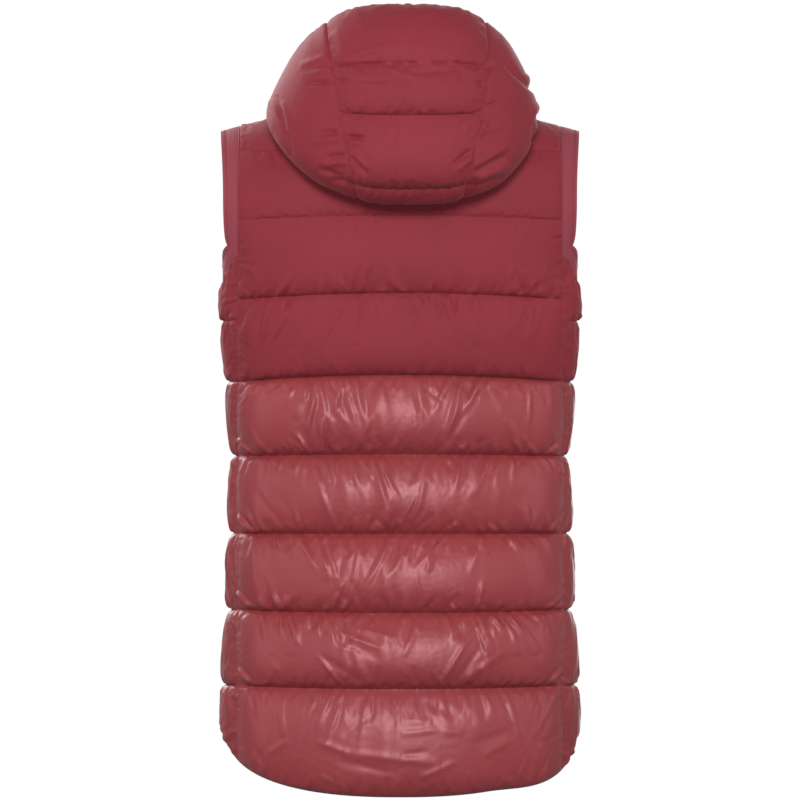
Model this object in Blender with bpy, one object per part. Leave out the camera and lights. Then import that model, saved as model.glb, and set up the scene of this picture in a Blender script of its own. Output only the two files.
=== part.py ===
"""A hooded puffer vest in the hollow form it has when worn, cut and sewn from quilted panels.

Metres, +Z up. The front faces -Y, and the wearer's left is +X. The origin is midway
between the shoulders, at the height where they carry the vest.

Each cloth piece is a wall: its outside is quilted and raised in channels, and its inside
is plain. A panel is a surface of two parameters, one across and one up, and a wall gives
it thickness along the surface's own normal.
"""

import math

import bmesh
import bpy
import numpy as np
from mathutils import Vector

# ---------------------------------------------------------------- driving sizes
SEAM_GAP = 0.0004        # between two pieces sewn together
TIGHT_SEAM_GAP = 0.0010  # where a seam runs round a sharper bend
LINING_DEPTH = 0.003     # the plain inside lies this far inside the stitch level
SEAM_RISE = 0.0006       # cloth thickness left standing at a stitch line

SHOULDER_SLOPE = 0.28    # fall of the shoulder line for each metre out
RIDGE_AT_MIDDLE = 0.0435  # the shoulder line carried on to the middle of the neck
RIDGE_ROUNDING = 0.030    # both slopes meet there in a curve, not a corner
SEAM_X = 0.1768          # the upright seams beside the back, the fronts and the armholes
NECK_HALF_WIDTH = 0.0775
ZIP_EDGE_X = 0.009       # the fronts stop here, beside the zip

BACK, FRONT = 1, -1
ROLL_RADIUS = {BACK: 0.095, FRONT: 0.130}    # how far down the shoulder starts to turn over
NECK_REACH = {BACK: 0.062, FRONT: 0.092}     # neck opening from the shoulder line
HEM_MIDDLE_Z = {BACK: -0.7425, FRONT: -0.708}
HEM_SIDE_Z, HEM_SIDE_ROUNDING = -0.674, 0.13
HEM_RIGHT_DROP, HEM_DROP_FROM_X = 0.0100, 0.095   # it hangs lower at the wearer's right

# The body's cross-sections, from the hem up.
SECTION_COLUMNS = ("height", "half_width", "back_depth", "front_depth", "squareness")
SECTIONS = np.array([
    (-0.7425, 0.1915, 0.112, 0.112, 2.35),
    (-0.6225, 0.1920, 0.110, 0.112, 2.35),
    (-0.5390, 0.1860, 0.104, 0.108, 2.35),
    (-0.4520, 0.1835, 0.098, 0.106, 2.35),
    (-0.3660, 0.1810, 0.097, 0.110, 2.40),
    (-0.2805, 0.1885, 0.101, 0.117, 2.60),
    (-0.2180, 0.1950, 0.105, 0.117, 2.90),
    (-0.1350, 0.1980, 0.106, 0.106, 3.40),
    (-0.0800, 0.2050, 0.103, 0.100, 3.80),
])

# Horizontal quilting lines, from the hem line's neighbour up to the seam with the yoke.
SKIRT_LINES = (-0.6225, -0.5390, -0.4520, -0.3660, -0.2805)
YOKE_LINES = (-0.2805, -0.1900, -0.1045)
SIDE_YOKE_LINES = (-0.2805, -0.2180)
TOP_LINE_BACK = -0.0286

# How far each channel stands out, lowest channel first.
SKIRT_PUFF = (0.012, 0.015, 0.0155, 0.0155, 0.0155)
YOKE_PUFF = (0.0105, 0.009, 0.006, 0.0035)
FRONT_PUFF_SHARE = 0.9
SIDE_PUFF_SHARE = 0.45   # a side panel is filled less than the back
SIDE_HALF_WIDTH, SIDE_PINCH_REACH = 0.05, 0.022
CHANNEL_STEPS = (0.0, 0.09, 0.32, 0.643, 0.90, 1.0)   # rows across one channel
HOOD_STEPS = (0.0, 0.1, 0.3, 0.5, 0.7, 0.9, 1.0)
CORNER_STEP = CHANNEL_STEPS.index(0.643)   # the row where side seam and armhole meet

# Gathers beside each quilting line: spacing, shift and depth, lowest line first.
GATHER_COLUMNS = ("spacing", "shift", "depth")
GATHERS = np.array([
    (0.034, 0.004, 0.0010),
    (0.027, 0.011, 0.0016),
    (0.025, 0.002, 0.0018),
    (0.026, 0.017, 0.0018),
    (0.024, 0.009, 0.0018),
    (0.023, 0.013, 0.0016),
    (0.026, 0.006, 0.0013),
    (0.031, 0.015, 0.0008),
    (0.040, 0.000, 0.0004),
])

ARMHOLE_BOTTOM_Z, ARMHOLE_CORNER_Z = -0.178, -0.138
ARMHOLE_BAND_WIDTH = 0.0195
ARMHOLE_BAND_RISE = 0.0024
ARMHOLE_BAND_LIFT = 0.28   # on the shoulder the band stands up from the slope
BAND_CORNER_ROUNDS = 2

COLLAR_TOP_HALF_WIDTH = 0.073
COLLAR_TOP_REACH = {BACK: 0.050, FRONT: 0.096}
COLLAR_TOP_Z = {BACK: 0.092, FRONT: 0.046}
COLLAR_PUFF = (0.0022, 0.0050)

# Stations of the hood, from the neck seam, under and round its fold, up to the brim.
# Half of each station is an arch: from the front corner, out to the side, to the middle
# of the back.
HOOD_COLUMNS = ("along", "half_width", "side_y", "side_z", "middle_y", "middle_z",
                "corner_x", "corner_y", "corner_z")
HOOD_STATIONS = np.array([
    (0.000, 0.0840, 0.000, 0.0260, 0.0680, 0.0290, 0.0480, -0.0800, -0.0130),
    (0.096, 0.1080, 0.012, 0.0300, 0.1080, 0.0290, 0.0540, -0.0840, -0.0050),
    (0.264, 0.1270, 0.034, 0.0280, 0.1370, -0.0430, 0.0600, -0.0870, 0.0040),
    (0.375, 0.1370, 0.052, 0.0200, 0.1640, -0.0850, 0.0630, -0.0885, 0.0100),
    (0.452, 0.1390, 0.056, 0.0220, 0.1930, -0.0700, 0.0650, -0.0895, 0.0150),
    (0.614, 0.1340, 0.047, 0.0320, 0.2000, 0.0050, 0.0670, -0.0905, 0.0230),
    (0.736, 0.1260, 0.034, 0.0430, 0.1880, 0.0600, 0.0680, -0.0910, 0.0290),
    (0.836, 0.1170, 0.022, 0.0520, 0.1680, 0.0990, 0.0690, -0.0915, 0.0330),
    (0.925, 0.1090, 0.010, 0.0590, 0.1380, 0.1245, 0.0690, -0.0920, 0.0370),
    (1.000, 0.1060, 0.002, 0.0620, 0.1080, 0.1165, 0.0690, -0.0920, 0.0400),
])
HOOD_SEAM_COLUMNS = ("along", "seam_x")
HOOD_SEAM = np.array([(0.0, 0.044), (0.26, 0.052), (0.45, 0.0605),
                      (0.614, 0.0765), (0.78, 0.083), (1.0, 0.085)])
HOOD_SIDE_AT = 0.6       # the arch's widest place, as a share of its run
HOOD_MIDDLE_ENDS, HOOD_CORNER_BEGINS = 0.76, 0.5   # where each part of an arch fades
HOOD_FLATNESS = 1.5
HOOD_SHIFT_X, HOOD_BRIM_SHIFT_X = -0.0115, -0.006   # it hangs towards the wearer's right
HOOD_FRONT_X = 0.046     # where its front corners meet the neck seam
HOOD_SEAM_LIFT, HOOD_SEAM_OUT = 0.0055, 0.006   # its lower edge lies on the neck seam
HOOD_SETTLED_AT = 0.12   # beyond this it no longer follows the neck seam
HOOD_BASE_AT = 0.20      # upper edge of the base band, hidden below the hood
HOOD_BRIM_AT = 0.955     # lower edge of the brim band
HOOD_LINES = (HOOD_BASE_AT, 0.264, 0.440, 0.614, 0.736, HOOD_BRIM_AT)
HOOD_LINING_DEPTH = 0.0028
HOOD_BEND_FROM = 6       # from this column on, the inside keeps every column of the side
HOOD_PUFF = (0.002, 0.008, 0.0085, 0.0075, 0.0075)
HOOD_SIDE_PUFF, HOOD_BASE_PUFF, HOOD_BRIM_PUFF = 0.0085, 0.0025, 0.0026

ZIP_TEETH_HALF_WIDTH = 0.0029
ZIP_TAPE_DEPTH = 0.0012
ZIP_TEETH_RISE = 0.0016

MATT_RED, SATIN_RED, TAPE_RED, METAL = "matt_shell", "satin_shell", "zip_tape", "zip_metal"
MATERIALS = {
    MATT_RED: ((0.287, 0.042, 0.055, 1.0), 0.72, 0.0),
    SATIN_RED: ((0.330, 0.055, 0.062, 1.0), 0.36, 0.0),
    TAPE_RED: ((0.230, 0.030, 0.040, 1.0), 0.85, 0.0),
    METAL: ((0.120, 0.110, 0.115, 1.0), 0.35, 1.0),
}


# ---------------------------------------------------------------- small helpers
def column(rows, names, name, at):
    """One named column of a table, as a smooth curve along its first column."""
    places, values = rows[:, 0], rows[:, names.index(name)]
    at = np.clip(at, places[0], places[-1])
    slopes = np.gradient(values, places)
    i = np.clip(np.searchsorted(places, at, side="right") - 1, 0, len(places) - 2)
    span = places[i + 1] - places[i]
    t = (at - places[i]) / span
    keep = 2 * t**3 - 3 * t**2 + 1
    return (keep * values[i] + (1 - keep) * values[i + 1]
            + span * ((t**3 - 2 * t**2 + t) * slopes[i] + (t**3 - t**2) * slopes[i + 1]))


def smooth(x):
    """0 below 0, 1 above 1, with level ends."""
    x = np.clip(x, 0.0, 1.0)
    return x * x * (3 - 2 * x)


def blend_lines(lines, row):
    """Row 0 lies on the first line, row 1 on the second, and so on, straight between."""
    found = lines[0]
    for i in range(len(lines) - 1):
        found = found + (lines[i + 1] - lines[i]) * np.clip(row - i, 0, 1)
    return found


def unit(vectors):
    return vectors / np.linalg.norm(vectors, axis=-1, keepdims=True)


def channel_rows(count, steps=CHANNEL_STEPS):
    """Rows for a number of channels, each divided in the same way."""
    return np.array([i + t for i in range(count) for t in steps[:-1]] + [float(count)])


def channel_puff(row, heights):
    """A padded channel's height between its two stitch lines, fullest below its middle."""
    index = np.clip(np.floor(row), 0, len(heights) - 1).astype(int)
    share = 1 - (1 - np.clip(row - index, 0, 1)) ** 1.12
    return np.take(heights, index) * (4 * share * (1 - share)) ** 0.62


def pinch(distance, reach=0.030, least=0.25):
    """A channel flattens towards a seam that crosses it."""
    return least + (1 - least) * np.sin(np.pi / 2 * np.clip(distance / reach, 0, 1)) ** 0.8


def gathers(across, row, first_line):
    """Cloth drawn up beside each quilting line: soft waves that fade into the channel."""
    total = 0.0
    for i, (spacing, shift, depth) in enumerate(GATHERS):
        near = np.exp(-((row - (i - first_line)) / 0.24) ** 2)
        total = total + depth * near * np.cos(2 * np.pi * (across - shift) / spacing)
    return total


# ---------------------------------------------------------------- walls
def zip_edges(bm, first, second, first_at, second_at):
    """Fills between two rows of points whose counts differ, in the order of their places."""
    i = j = 0
    while i < len(first) - 1 or j < len(second) - 1:
        step_first = j == len(second) - 1 or (
            i < len(first) - 1 and first_at[i + 1] <= second_at[j + 1] + 1e-9)
        if step_first:
            bm.faces.new((first[i], first[i + 1], second[j]))
            i += 1
        else:
            bm.faces.new((first[i], second[j + 1], second[j]))
            j += 1


def fill_grid(bm, points):
    """Vertices and faces for a grid of points."""
    verts = [[bm.verts.new(p) for p in line] for line in points]
    for low, high in zip(verts[:-1], verts[1:]):
        for a, b, c, d in zip(low[:-1], low[1:], high[1:], high[:-1]):
            bm.faces.new((a, b, c, d))
    return verts


def shares(values):
    values = np.asarray(values, float)
    return (values - values[0]) / (values[-1] - values[0])


def surface_normals(surface, across, up):
    """Unit normals of a surface, from its differences across and up."""
    step = 1e-4
    along = surface(across + step, up) - surface(across - step, up)
    rise = surface(across, up + step) - surface(across, up - step)
    return unit(np.cross(along, rise))


def draw_back(points, sewn, gap):
    """Moves a sewn edge half the gap inwards. sewn names edges: low, high, first, last."""
    grids = {"low": points, "high": points[::-1],
             "first": points.swapaxes(0, 1), "last": points.swapaxes(0, 1)[::-1]}
    for edge in sewn.split():
        rows = grids[edge]
        tangent = unit(np.gradient(rows[0], axis=0))
        inwards = rows[1] - rows[0]
        inwards = inwards - tangent * (inwards * tangent).sum(-1, keepdims=True)
        rows[0] += unit(inwards) * gap / 2


def wall(name, material, surface, across, up, height, sewn, lining=LINING_DEPTH,
         inner_across=None, inner_up=None, facing=1, normals=None, gap=SEAM_GAP):
    """A cloth wall. height(across, up) raises its outside; its inside is plain and needs
    fewer points, so inner_across and inner_up pick some of the outside's columns and rows."""
    inner_across = range(len(across)) if inner_across is None else inner_across
    inner_up = range(len(up)) if inner_up is None else inner_up
    columns, rows = np.meshgrid(across, up)
    base = surface(columns, rows)
    draw_back(base, sewn, gap)
    normal = surface_normals(surface, columns, rows) * facing if normals is None \
        else normals(columns, rows)
    outer = base + normal * (SEAM_RISE + height(columns, rows))[..., None]
    inner = (base - normal * lining)[np.ix_(inner_up, inner_across)]
    bm = bmesh.new()
    out_verts, in_verts = fill_grid(bm, outer), fill_grid(bm, inner)
    across_at, up_at = shares(across), shares(up)
    in_across_at = shares(np.asarray(across)[list(inner_across)])
    in_up_at = shares(np.asarray(up)[list(inner_up)])
    for end in (0, -1):
        zip_edges(bm, out_verts[end], in_verts[end], across_at, in_across_at)
        zip_edges(bm, [line[end] for line in out_verts], [line[end] for line in in_verts],
                  up_at, in_up_at)
    return finish_mesh(bm, name, material)


def finish_mesh(bm, name, material):
    """Turns all faces outwards and makes the named object."""
    bmesh.ops.recalc_face_normals(bm, faces=bm.faces)
    mesh = bpy.data.meshes.new(name)
    bm.to_mesh(mesh)
    bm.free()
    mesh.shade_smooth()
    mesh.set_sharp_from_angle(angle=math.radians(50))
    obj = bpy.data.objects.new(name, mesh)
    bpy.context.scene.collection.objects.link(obj)
    mesh.materials.append(shared_material(material))
    return obj


def shared_material(name):
    """A Principled material, made once for all the pieces cut from the same stuff."""
    material = bpy.data.materials.get(name)
    if material is None:
        colour, roughness, metallic = MATERIALS[name]
        material = bpy.data.materials.new(name)
        material.use_nodes = True
        shader = material.node_tree.nodes["Principled BSDF"]
        shader.inputs["Base Color"].default_value = colour
        shader.inputs["Roughness"].default_value = roughness
        shader.inputs["Metallic"].default_value = metallic
    return material


# ---------------------------------------------------------------- the body's form
def section(name, z):
    return column(SECTIONS, SECTION_COLUMNS, name, z)


def ridge(x):
    """Height of the shoulder line above a place across the body."""
    return RIDGE_AT_MIDDLE - SHOULDER_SLOPE * np.hypot(x, RIDGE_ROUNDING)


def depth(face, x, z):
    """How far the front or back stands from the middle plane: a squared ellipse."""
    reach = section("back_depth" if face == BACK else "front_depth", z)
    power = section("squareness", z)
    share = np.clip(np.abs(x) / section("half_width", z), 0, 0.9999)
    return reach * (1 - share ** power) ** (1 / power)


def roll_start(face, x):
    return ridge(x) - ROLL_RADIUS[face]


def climb(face, x, z):
    """Distance up the surface from where the shoulder starts to turn, for a height."""
    above = z - roll_start(face, x)
    radius = ROLL_RADIUS[face]
    return np.where(above < 0, above, radius * np.arcsin(np.clip(above / radius, 0, 1)))


def shell(face, x, climbed):
    """A point of the front or back: a straight side below, a quarter turn to the ridge above."""
    start, radius = roll_start(face, x), ROLL_RADIUS[face]
    turn = np.clip(climbed, 0, None) / radius
    z = start + np.minimum(climbed, 0) + radius * np.sin(turn)
    y = face * depth(face, x, np.minimum(z, start)) * np.cos(turn)
    return np.stack(np.broadcast_arrays(x, y, z), axis=-1)


def top_climb(face, x):
    """The panel's top edge: the shoulder ridge outside, the neck curve inside."""
    share = np.clip(np.abs(x) / NECK_HALF_WIDTH, 0, 1)
    neck_y = NECK_REACH[face] * np.sqrt(1 - share ** 2)
    turn = np.arccos(np.clip(neck_y / depth(face, x, roll_start(face, x)), 0, 1))
    return ROLL_RADIUS[face] * turn


def hem_height(face, x):
    """The hem drops from the side to the middle in step with the body's depth there."""
    full = section("back_depth" if face == BACK else "front_depth", HEM_SIDE_Z)
    share = depth(face, x, HEM_SIDE_Z) / full
    least = HEM_SIDE_ROUNDING
    drop = (np.sqrt(share ** 2 + least ** 2) - least) / (math.hypot(1, least) - least)
    hang = smooth((-x - HEM_DROP_FROM_X) / (SEAM_X - HEM_DROP_FROM_X)) if face == BACK else 0
    return HEM_SIDE_Z + (HEM_MIDDLE_Z[face] - HEM_SIDE_Z) * drop - HEM_RIGHT_DROP * hang


def back_x(across):
    """The back runs from seam to seam: across is -1 at one and 1 at the other."""
    return across * SEAM_X


def front_x(side):
    """A front runs from the zip, where across is 0, to its side seam, where it is 1."""
    return lambda across: side * (ZIP_EDGE_X + across * (SEAM_X - ZIP_EDGE_X))


def yoke_surface(face, place):
    """The upper panels. Rows 0 to 4 count the stitch lines, the last being the top edge."""
    def surface(across, row):
        x = place(across)
        lines = [climb(face, x, z) for z in YOKE_LINES]
        top = top_climb(face, x)
        lines.append(climb(face, x, TOP_LINE_BACK) if face == BACK else (lines[-1] + top) / 2)
        lines.append(top)
        return shell(face, x, blend_lines(lines, row))
    return surface


def skirt_surface(face, place):
    """The lower panels: row 0 is the hem and row 5 the seam with the yoke."""
    def surface(across, row):
        x = place(across)
        heights = [hem_height(face, x)] + [z + 0 * x for z in SKIRT_LINES]
        return shell(face, x, blend_lines([climb(face, x, z) for z in heights], row))
    return surface


def side_point(side, across, z):
    """A side panel's point: across is -1 at its front seam and 1 at its back seam."""
    at_back = across >= 0
    y = across * np.where(at_back, depth(BACK, SEAM_X, z), depth(FRONT, SEAM_X, z))
    reach = np.where(at_back, section("back_depth", z), section("front_depth", z))
    power = section("squareness", z)
    x = section("half_width", z) * (1 - np.abs(y / reach) ** power) ** (1 / power)
    return np.stack(np.broadcast_arrays(side * x, y, z), axis=-1)


def side_hem(side, across):
    """The same hem, reached along the side panel."""
    found = []
    for face in (BACK, FRONT):
        full = section("back_depth" if face == BACK else "front_depth", HEM_SIDE_Z)
        share = across * depth(face, SEAM_X, HEM_SIDE_Z) / full
        least = HEM_SIDE_ROUNDING
        drop = (np.sqrt(share ** 2 + least ** 2) - least) / (math.hypot(1, least) - least)
        found.append(HEM_SIDE_Z + (HEM_MIDDLE_Z[face] - HEM_SIDE_Z) * drop)
    hang = smooth((1 + across) / 2) if side < 0 else 0
    return np.where(across >= 0, found[0], found[1]) - HEM_RIGHT_DROP * hang


def side_skirt_surface(side):
    def surface(across, row):
        lines = [side_hem(side, across)] + [z + 0 * across for z in SKIRT_LINES]
        return side_point(side, across, blend_lines(lines, row))
    return surface


def armhole_seam_z(across):
    drop = ARMHOLE_CORNER_Z - ARMHOLE_BOTTOM_Z
    return ARMHOLE_BOTTOM_Z + drop * np.abs(across) ** 2.2


def side_yoke_surface(side):
    def surface(across, row):
        lines = [z + 0 * across for z in SIDE_YOKE_LINES] + [armhole_seam_z(across)]
        return side_point(side, across, blend_lines(lines, row))
    return surface


# ---------------------------------------------------------------- columns of the panels
NECK_TURNS = np.radians((0, 8, 16, 25, 34, 44, 54, 65, 77, 90))
HALF_BACK = np.concatenate([NECK_HALF_WIDTH * np.sin(NECK_TURNS),
                            np.linspace(NECK_HALF_WIDTH, SEAM_X, 12)[1:]]) / SEAM_X
BACK_COLUMNS = np.concatenate([-HALF_BACK[:0:-1], HALF_BACK])
NECK_FRONT_TURNS = np.concatenate([[math.asin(ZIP_EDGE_X / NECK_HALF_WIDTH)],
                                   np.radians((19, 31, 44, 58, 73, 90))])
FRONT_X = np.concatenate([NECK_HALF_WIDTH * np.sin(NECK_FRONT_TURNS),
                          np.linspace(NECK_HALF_WIDTH, SEAM_X, 9)[1:]])
FRONT_COLUMNS = (FRONT_X - ZIP_EDGE_X) / (SEAM_X - ZIP_EDGE_X)
SIDE_COLUMNS = np.linspace(-1, 1, 9)
YOKE_ROWS, SKIRT_ROWS = channel_rows(4), channel_rows(5)
ARMHOLE_STEPS = np.array(CHANNEL_STEPS[:CORNER_STEP + 1]) / CHANNEL_STEPS[CORNER_STEP]
ARMHOLE_FROM_ROW = len(CHANNEL_STEPS) - 1 + CORNER_STEP
SIDE_YOKE_ROWS = np.concatenate([channel_rows(1)[:-1], 1 + ARMHOLE_STEPS])
YOKE_FIRST_LINE, SKIRT_FIRST_LINE = 5, 0


def picked(count, every, also=()):
    """Indices of every few columns or rows, always with the first and the last."""
    return sorted(set(range(0, count, every)) | {count - 1} | set(also))


def inner_rows(rows, all_from=10 ** 6):
    """The inside keeps the stitch lines, a middle row of each channel, and all rows from
    all_from, where the edge beside the armhole curves."""
    steps = len(CHANNEL_STEPS) - 1
    chosen = (i for i in range(len(rows)) if i % steps in (0, CORNER_STEP))
    return sorted(set(chosen) | {len(rows) - 1} | set(range(all_from, len(rows))))


def back_panels():
    """The back's yoke in matt cloth and, below it, its skirt in satin."""
    columns = BACK_COLUMNS
    neck = range(len(HALF_BACK) - len(NECK_TURNS), len(HALF_BACK) + len(NECK_TURNS) - 1)

    def raised(puffs, first):
        def height(across, row):
            edge = (1 - np.abs(across)) * SEAM_X
            waves = gathers(across * SEAM_X, row, first)
            return channel_puff(row, puffs) * pinch(edge) + waves * pinch(edge, least=0)
        return height
    wall("back_yoke", MATT_RED, yoke_surface(BACK, back_x), columns,
         YOKE_ROWS, raised(YOKE_PUFF, YOKE_FIRST_LINE), "low high first last", facing=-1,
         inner_across=picked(len(columns), 4, neck),
         inner_up=inner_rows(YOKE_ROWS, ARMHOLE_FROM_ROW))
    wall("back_skirt", SATIN_RED, skirt_surface(BACK, back_x), columns,
         SKIRT_ROWS, raised(SKIRT_PUFF, SKIRT_FIRST_LINE), "high first last", facing=-1,
         inner_across=picked(len(columns), 4), inner_up=inner_rows(SKIRT_ROWS))


def front_panels(side, letter):
    """One front: yoke and skirt, from the zip to the side seam."""
    columns = FRONT_COLUMNS
    width = SEAM_X - ZIP_EDGE_X
    neck = range(len(NECK_FRONT_TURNS))

    def raised(puffs, first):
        def height(across, row):
            edge = np.minimum(1 - across, across) * width
            waves = gathers(across * width + 0.007 * side, row, first)
            return FRONT_PUFF_SHARE * channel_puff(row, puffs) * pinch(edge) \
                + waves * pinch(edge, least=0)
        return height
    wall("front_yoke_" + letter, MATT_RED, yoke_surface(FRONT, front_x(side)), columns,
         YOKE_ROWS, raised(YOKE_PUFF, YOKE_FIRST_LINE), "low high last",
         facing=side, inner_across=picked(len(columns), 3, neck),
         inner_up=inner_rows(YOKE_ROWS, ARMHOLE_FROM_ROW))
    wall("front_skirt_" + letter, SATIN_RED, skirt_surface(FRONT, front_x(side)), columns,
         SKIRT_ROWS, raised(SKIRT_PUFF, SKIRT_FIRST_LINE), "high last",
         facing=side, inner_across=picked(len(columns), 3), inner_up=inner_rows(SKIRT_ROWS))


def side_panels(side, letter):
    """One side panel: yoke and skirt, between the front's seam and the back's."""
    columns = SIDE_COLUMNS

    def raised(puffs):
        def height(across, row):
            edge = (1 - np.abs(across)) * SIDE_HALF_WIDTH
            return SIDE_PUFF_SHARE * channel_puff(row, puffs) * pinch(edge, SIDE_PINCH_REACH)
        return height
    wall("side_yoke_" + letter, MATT_RED, side_yoke_surface(side), columns,
         SIDE_YOKE_ROWS, raised(YOKE_PUFF[:2]), "low high first last", facing=side,
         inner_up=picked(len(SIDE_YOKE_ROWS), 2), gap=TIGHT_SEAM_GAP)
    wall("side_skirt_" + letter, SATIN_RED, side_skirt_surface(side), columns,
         SKIRT_ROWS, raised(SKIRT_PUFF), "high first last", facing=side,
         inner_across=picked(len(columns), 2), inner_up=inner_rows(SKIRT_ROWS))


# ---------------------------------------------------------------- armhole bands
def edge_frame(surface, across, rows, facing, outward_step):
    """A panel's edge: its points, the way on beyond the edge, and the way out."""
    across, rows = np.broadcast_arrays(np.asarray(across, float), np.asarray(rows, float))
    step_across, step_up = outward_step
    points = surface(across, rows)
    out = surface_normals(surface, across, rows) * facing
    edge = surface(across + step_up, rows + step_across) - surface(across - step_up,
                                                                   rows - step_across)
    beyond = np.cross(out, unit(edge))
    inside = surface(across - step_across, rows - step_up) - points
    beyond = beyond * -np.sign((beyond * inside).sum(-1, keepdims=True))
    return points, unit(beyond), out


def armhole_band(side, letter):
    """A flat faced band round the armhole. Its ring runs up the back's edge, down the front's
    and along the top of the side panel, through the same points as their edges."""
    rows = YOKE_ROWS[ARMHOLE_FROM_ROW:]
    tiny = 1e-4
    frames = (
        edge_frame(yoke_surface(BACK, back_x), side, rows, -1, (side * tiny, 0.0)),
        edge_frame(yoke_surface(FRONT, front_x(side)), 1.0, rows[-2::-1], side, (tiny, 0.0)),
        edge_frame(side_yoke_surface(side), SIDE_COLUMNS[1:-1], 2.0 - tiny, side, (0.0, tiny)),
    )
    points, beyond, out = (np.concatenate([f[i] for f in frames]) for i in range(3))
    count = len(points)
    seam_beyond, seam_out = beyond.copy(), out.copy()
    for _ in range(BAND_CORNER_ROUNDS):
        beyond = unit(beyond + 0.5 * (np.roll(beyond, 1, 0) + np.roll(beyond, -1, 0)))
        out = unit(out + 0.5 * (np.roll(out, 1, 0) + np.roll(out, -1, 0)))
    corners = (0, 2 * len(rows) - 2)
    for corner in corners:
        seam_beyond[corner] = beyond[corner] * 1.1
    top = np.exp(-(points[:, 1:2] / 0.035) ** 2) * (points[:, 2:3] > ARMHOLE_CORNER_Z)
    beyond = unit(beyond + out * top * ARMHOLE_BAND_LIFT)
    out = unit(out - beyond * (out * beyond).sum(1, keepdims=True))
    profile = (
        # share of the width, rise of the outside, depth of the inside
        (0.0, SEAM_RISE, LINING_DEPTH),
        (0.14, ARMHOLE_BAND_RISE, LINING_DEPTH),
        (0.80, ARMHOLE_BAND_RISE, LINING_DEPTH),
        (1.0, 0.0008, 0.0014),
    )
    bm = bmesh.new()
    rings = []
    for share, rise, inside in profile:
        ease = smooth(share / 0.6)
        way = seam_beyond * (1 - ease) + beyond * ease
        face = unit(seam_out * (1 - ease) + out * ease)
        reach = points + seam_beyond * SEAM_GAP * 1.5 + way * share * ARMHOLE_BAND_WIDTH
        rings.append([bm.verts.new(p) for p in reach + face * rise])
        rings.insert(0, [bm.verts.new(p) for p in reach - face * inside])
    for low, high in zip(rings, rings[1:] + rings[:1]):
        for i in range(count):
            j = (i + 1) % count
            bm.faces.new((low[i], low[j], high[j], high[i]))
    finish_mesh(bm, "armhole_band_" + letter, MATT_RED)


# ---------------------------------------------------------------- collar
def neck_point(turn):
    """The neck seam: turn is 0 at the middle of the back and pi at the middle of the front."""
    x = NECK_HALF_WIDTH * np.sin(turn)
    back, front = (shell(face, x, top_climb(face, x)) for face in (BACK, FRONT))
    return np.where((np.cos(turn) >= 0)[..., None], back, front)


def neck_seam(turn):
    """Points of the neck seam, the way out of the cloth there and the way into the opening."""
    x = NECK_HALF_WIDTH * np.sin(turn)
    step = 1e-4
    found = []
    for face in (BACK, FRONT):
        top = top_climb(face, x)
        up = shell(face, x, top) - shell(face, x, top - step)
        along = shell(face, x + step, top) - shell(face, x - step, top)
        found.append(unit(np.cross(along, up)) * -face)
    out = np.where((np.cos(turn) >= 0)[..., None], *found)
    tangent = unit(neck_point(turn + step) - neck_point(turn - step))
    return neck_point(turn), out, -unit(np.cross(out, tangent))


def collar_surface(turn, rise):
    """From the neck seam to the collar's top edge, a little narrower and leaning forwards."""
    seam, _, inward = neck_seam(turn)
    low = seam + inward * SEAM_GAP * 1.5
    lean = np.cos(turn)
    reach = np.where(lean >= 0, COLLAR_TOP_REACH[BACK], COLLAR_TOP_REACH[FRONT])
    middle = (COLLAR_TOP_Z[BACK] + COLLAR_TOP_Z[FRONT]) / 2
    swing = (COLLAR_TOP_Z[BACK] - COLLAR_TOP_Z[FRONT]) / 2
    narrower = (NECK_HALF_WIDTH - COLLAR_TOP_HALF_WIDTH) / (NECK_HALF_WIDTH - ZIP_EDGE_X)
    x = low[..., 0] - np.sign(turn) * narrower * np.maximum(np.abs(low[..., 0]) - ZIP_EDGE_X, 0)
    high = np.stack([x, reach * lean, middle + swing * lean], axis=-1)
    return low + (high - low) * rise[..., None]


def collar_normals(turn, rise):
    """The body's direction at the seam, turning to the collar's own above it."""
    own = unit(np.stack([np.sin(turn), np.cos(turn), 0.1 * np.cos(turn)], axis=-1))
    share = smooth(rise / 0.16)[..., None]
    return unit(neck_seam(turn)[1] * (1 - share) + own * share)


def collar():
    """The stand collar, open at the zip, quilted in two channels."""
    half = np.concatenate([NECK_TURNS, np.pi - NECK_FRONT_TURNS[-2::-1]])
    turns = np.concatenate([-half[:0:-1], half])
    rises = np.array((0.006, 0.10, 0.20, 0.30, 0.42, 0.48, 0.54, 0.66, 0.80, 0.93, 1.0))

    def height(turn, rise):
        ends = pinch((np.pi - np.abs(turn)) * NECK_REACH[FRONT] - ZIP_EDGE_X, 0.016, 0.15)
        return channel_puff((rise - rises[0]) * 2 / (1 - rises[0]), COLLAR_PUFF) * ends
    wall("collar", MATT_RED, collar_surface, turns, rises, height, "", normals=collar_normals,
         inner_up=(0, 2, 5, 8, 10))


# ---------------------------------------------------------------- hood
def hood_arch(place, along):
    """One half of a station. x swells to its widest place and closes to the front corner;
    y and z pass from the middle's values to the side's and on to the corner's."""
    value = {n: column(HOOD_STATIONS, HOOD_COLUMNS, n, along) for n in HOOD_COLUMNS[1:]}
    to_side = np.clip(place / HOOD_SIDE_AT, 0, 1) * np.pi / 2
    to_corner = np.clip((place - HOOD_SIDE_AT) / (1 - HOOD_SIDE_AT), 0, 1) * np.pi / 2
    width = value["half_width"]
    x = width * np.sin(to_side) + (value["corner_x"] - width) * (1 - np.cos(to_corner))
    middle = 1 - smooth(place / HOOD_MIDDLE_ENDS) ** HOOD_FLATNESS
    corner = smooth((place - HOOD_CORNER_BEGINS) / (1 - HOOD_CORNER_BEGINS))
    found = [x]
    for axis, front in (("y", corner), ("z", corner ** 1.6)):
        found.append(value["middle_" + axis] * middle + value["corner_" + axis] * front
                     + value["side_" + axis] * (1 - middle - front))
    return np.stack(found, axis=-1)


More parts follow.
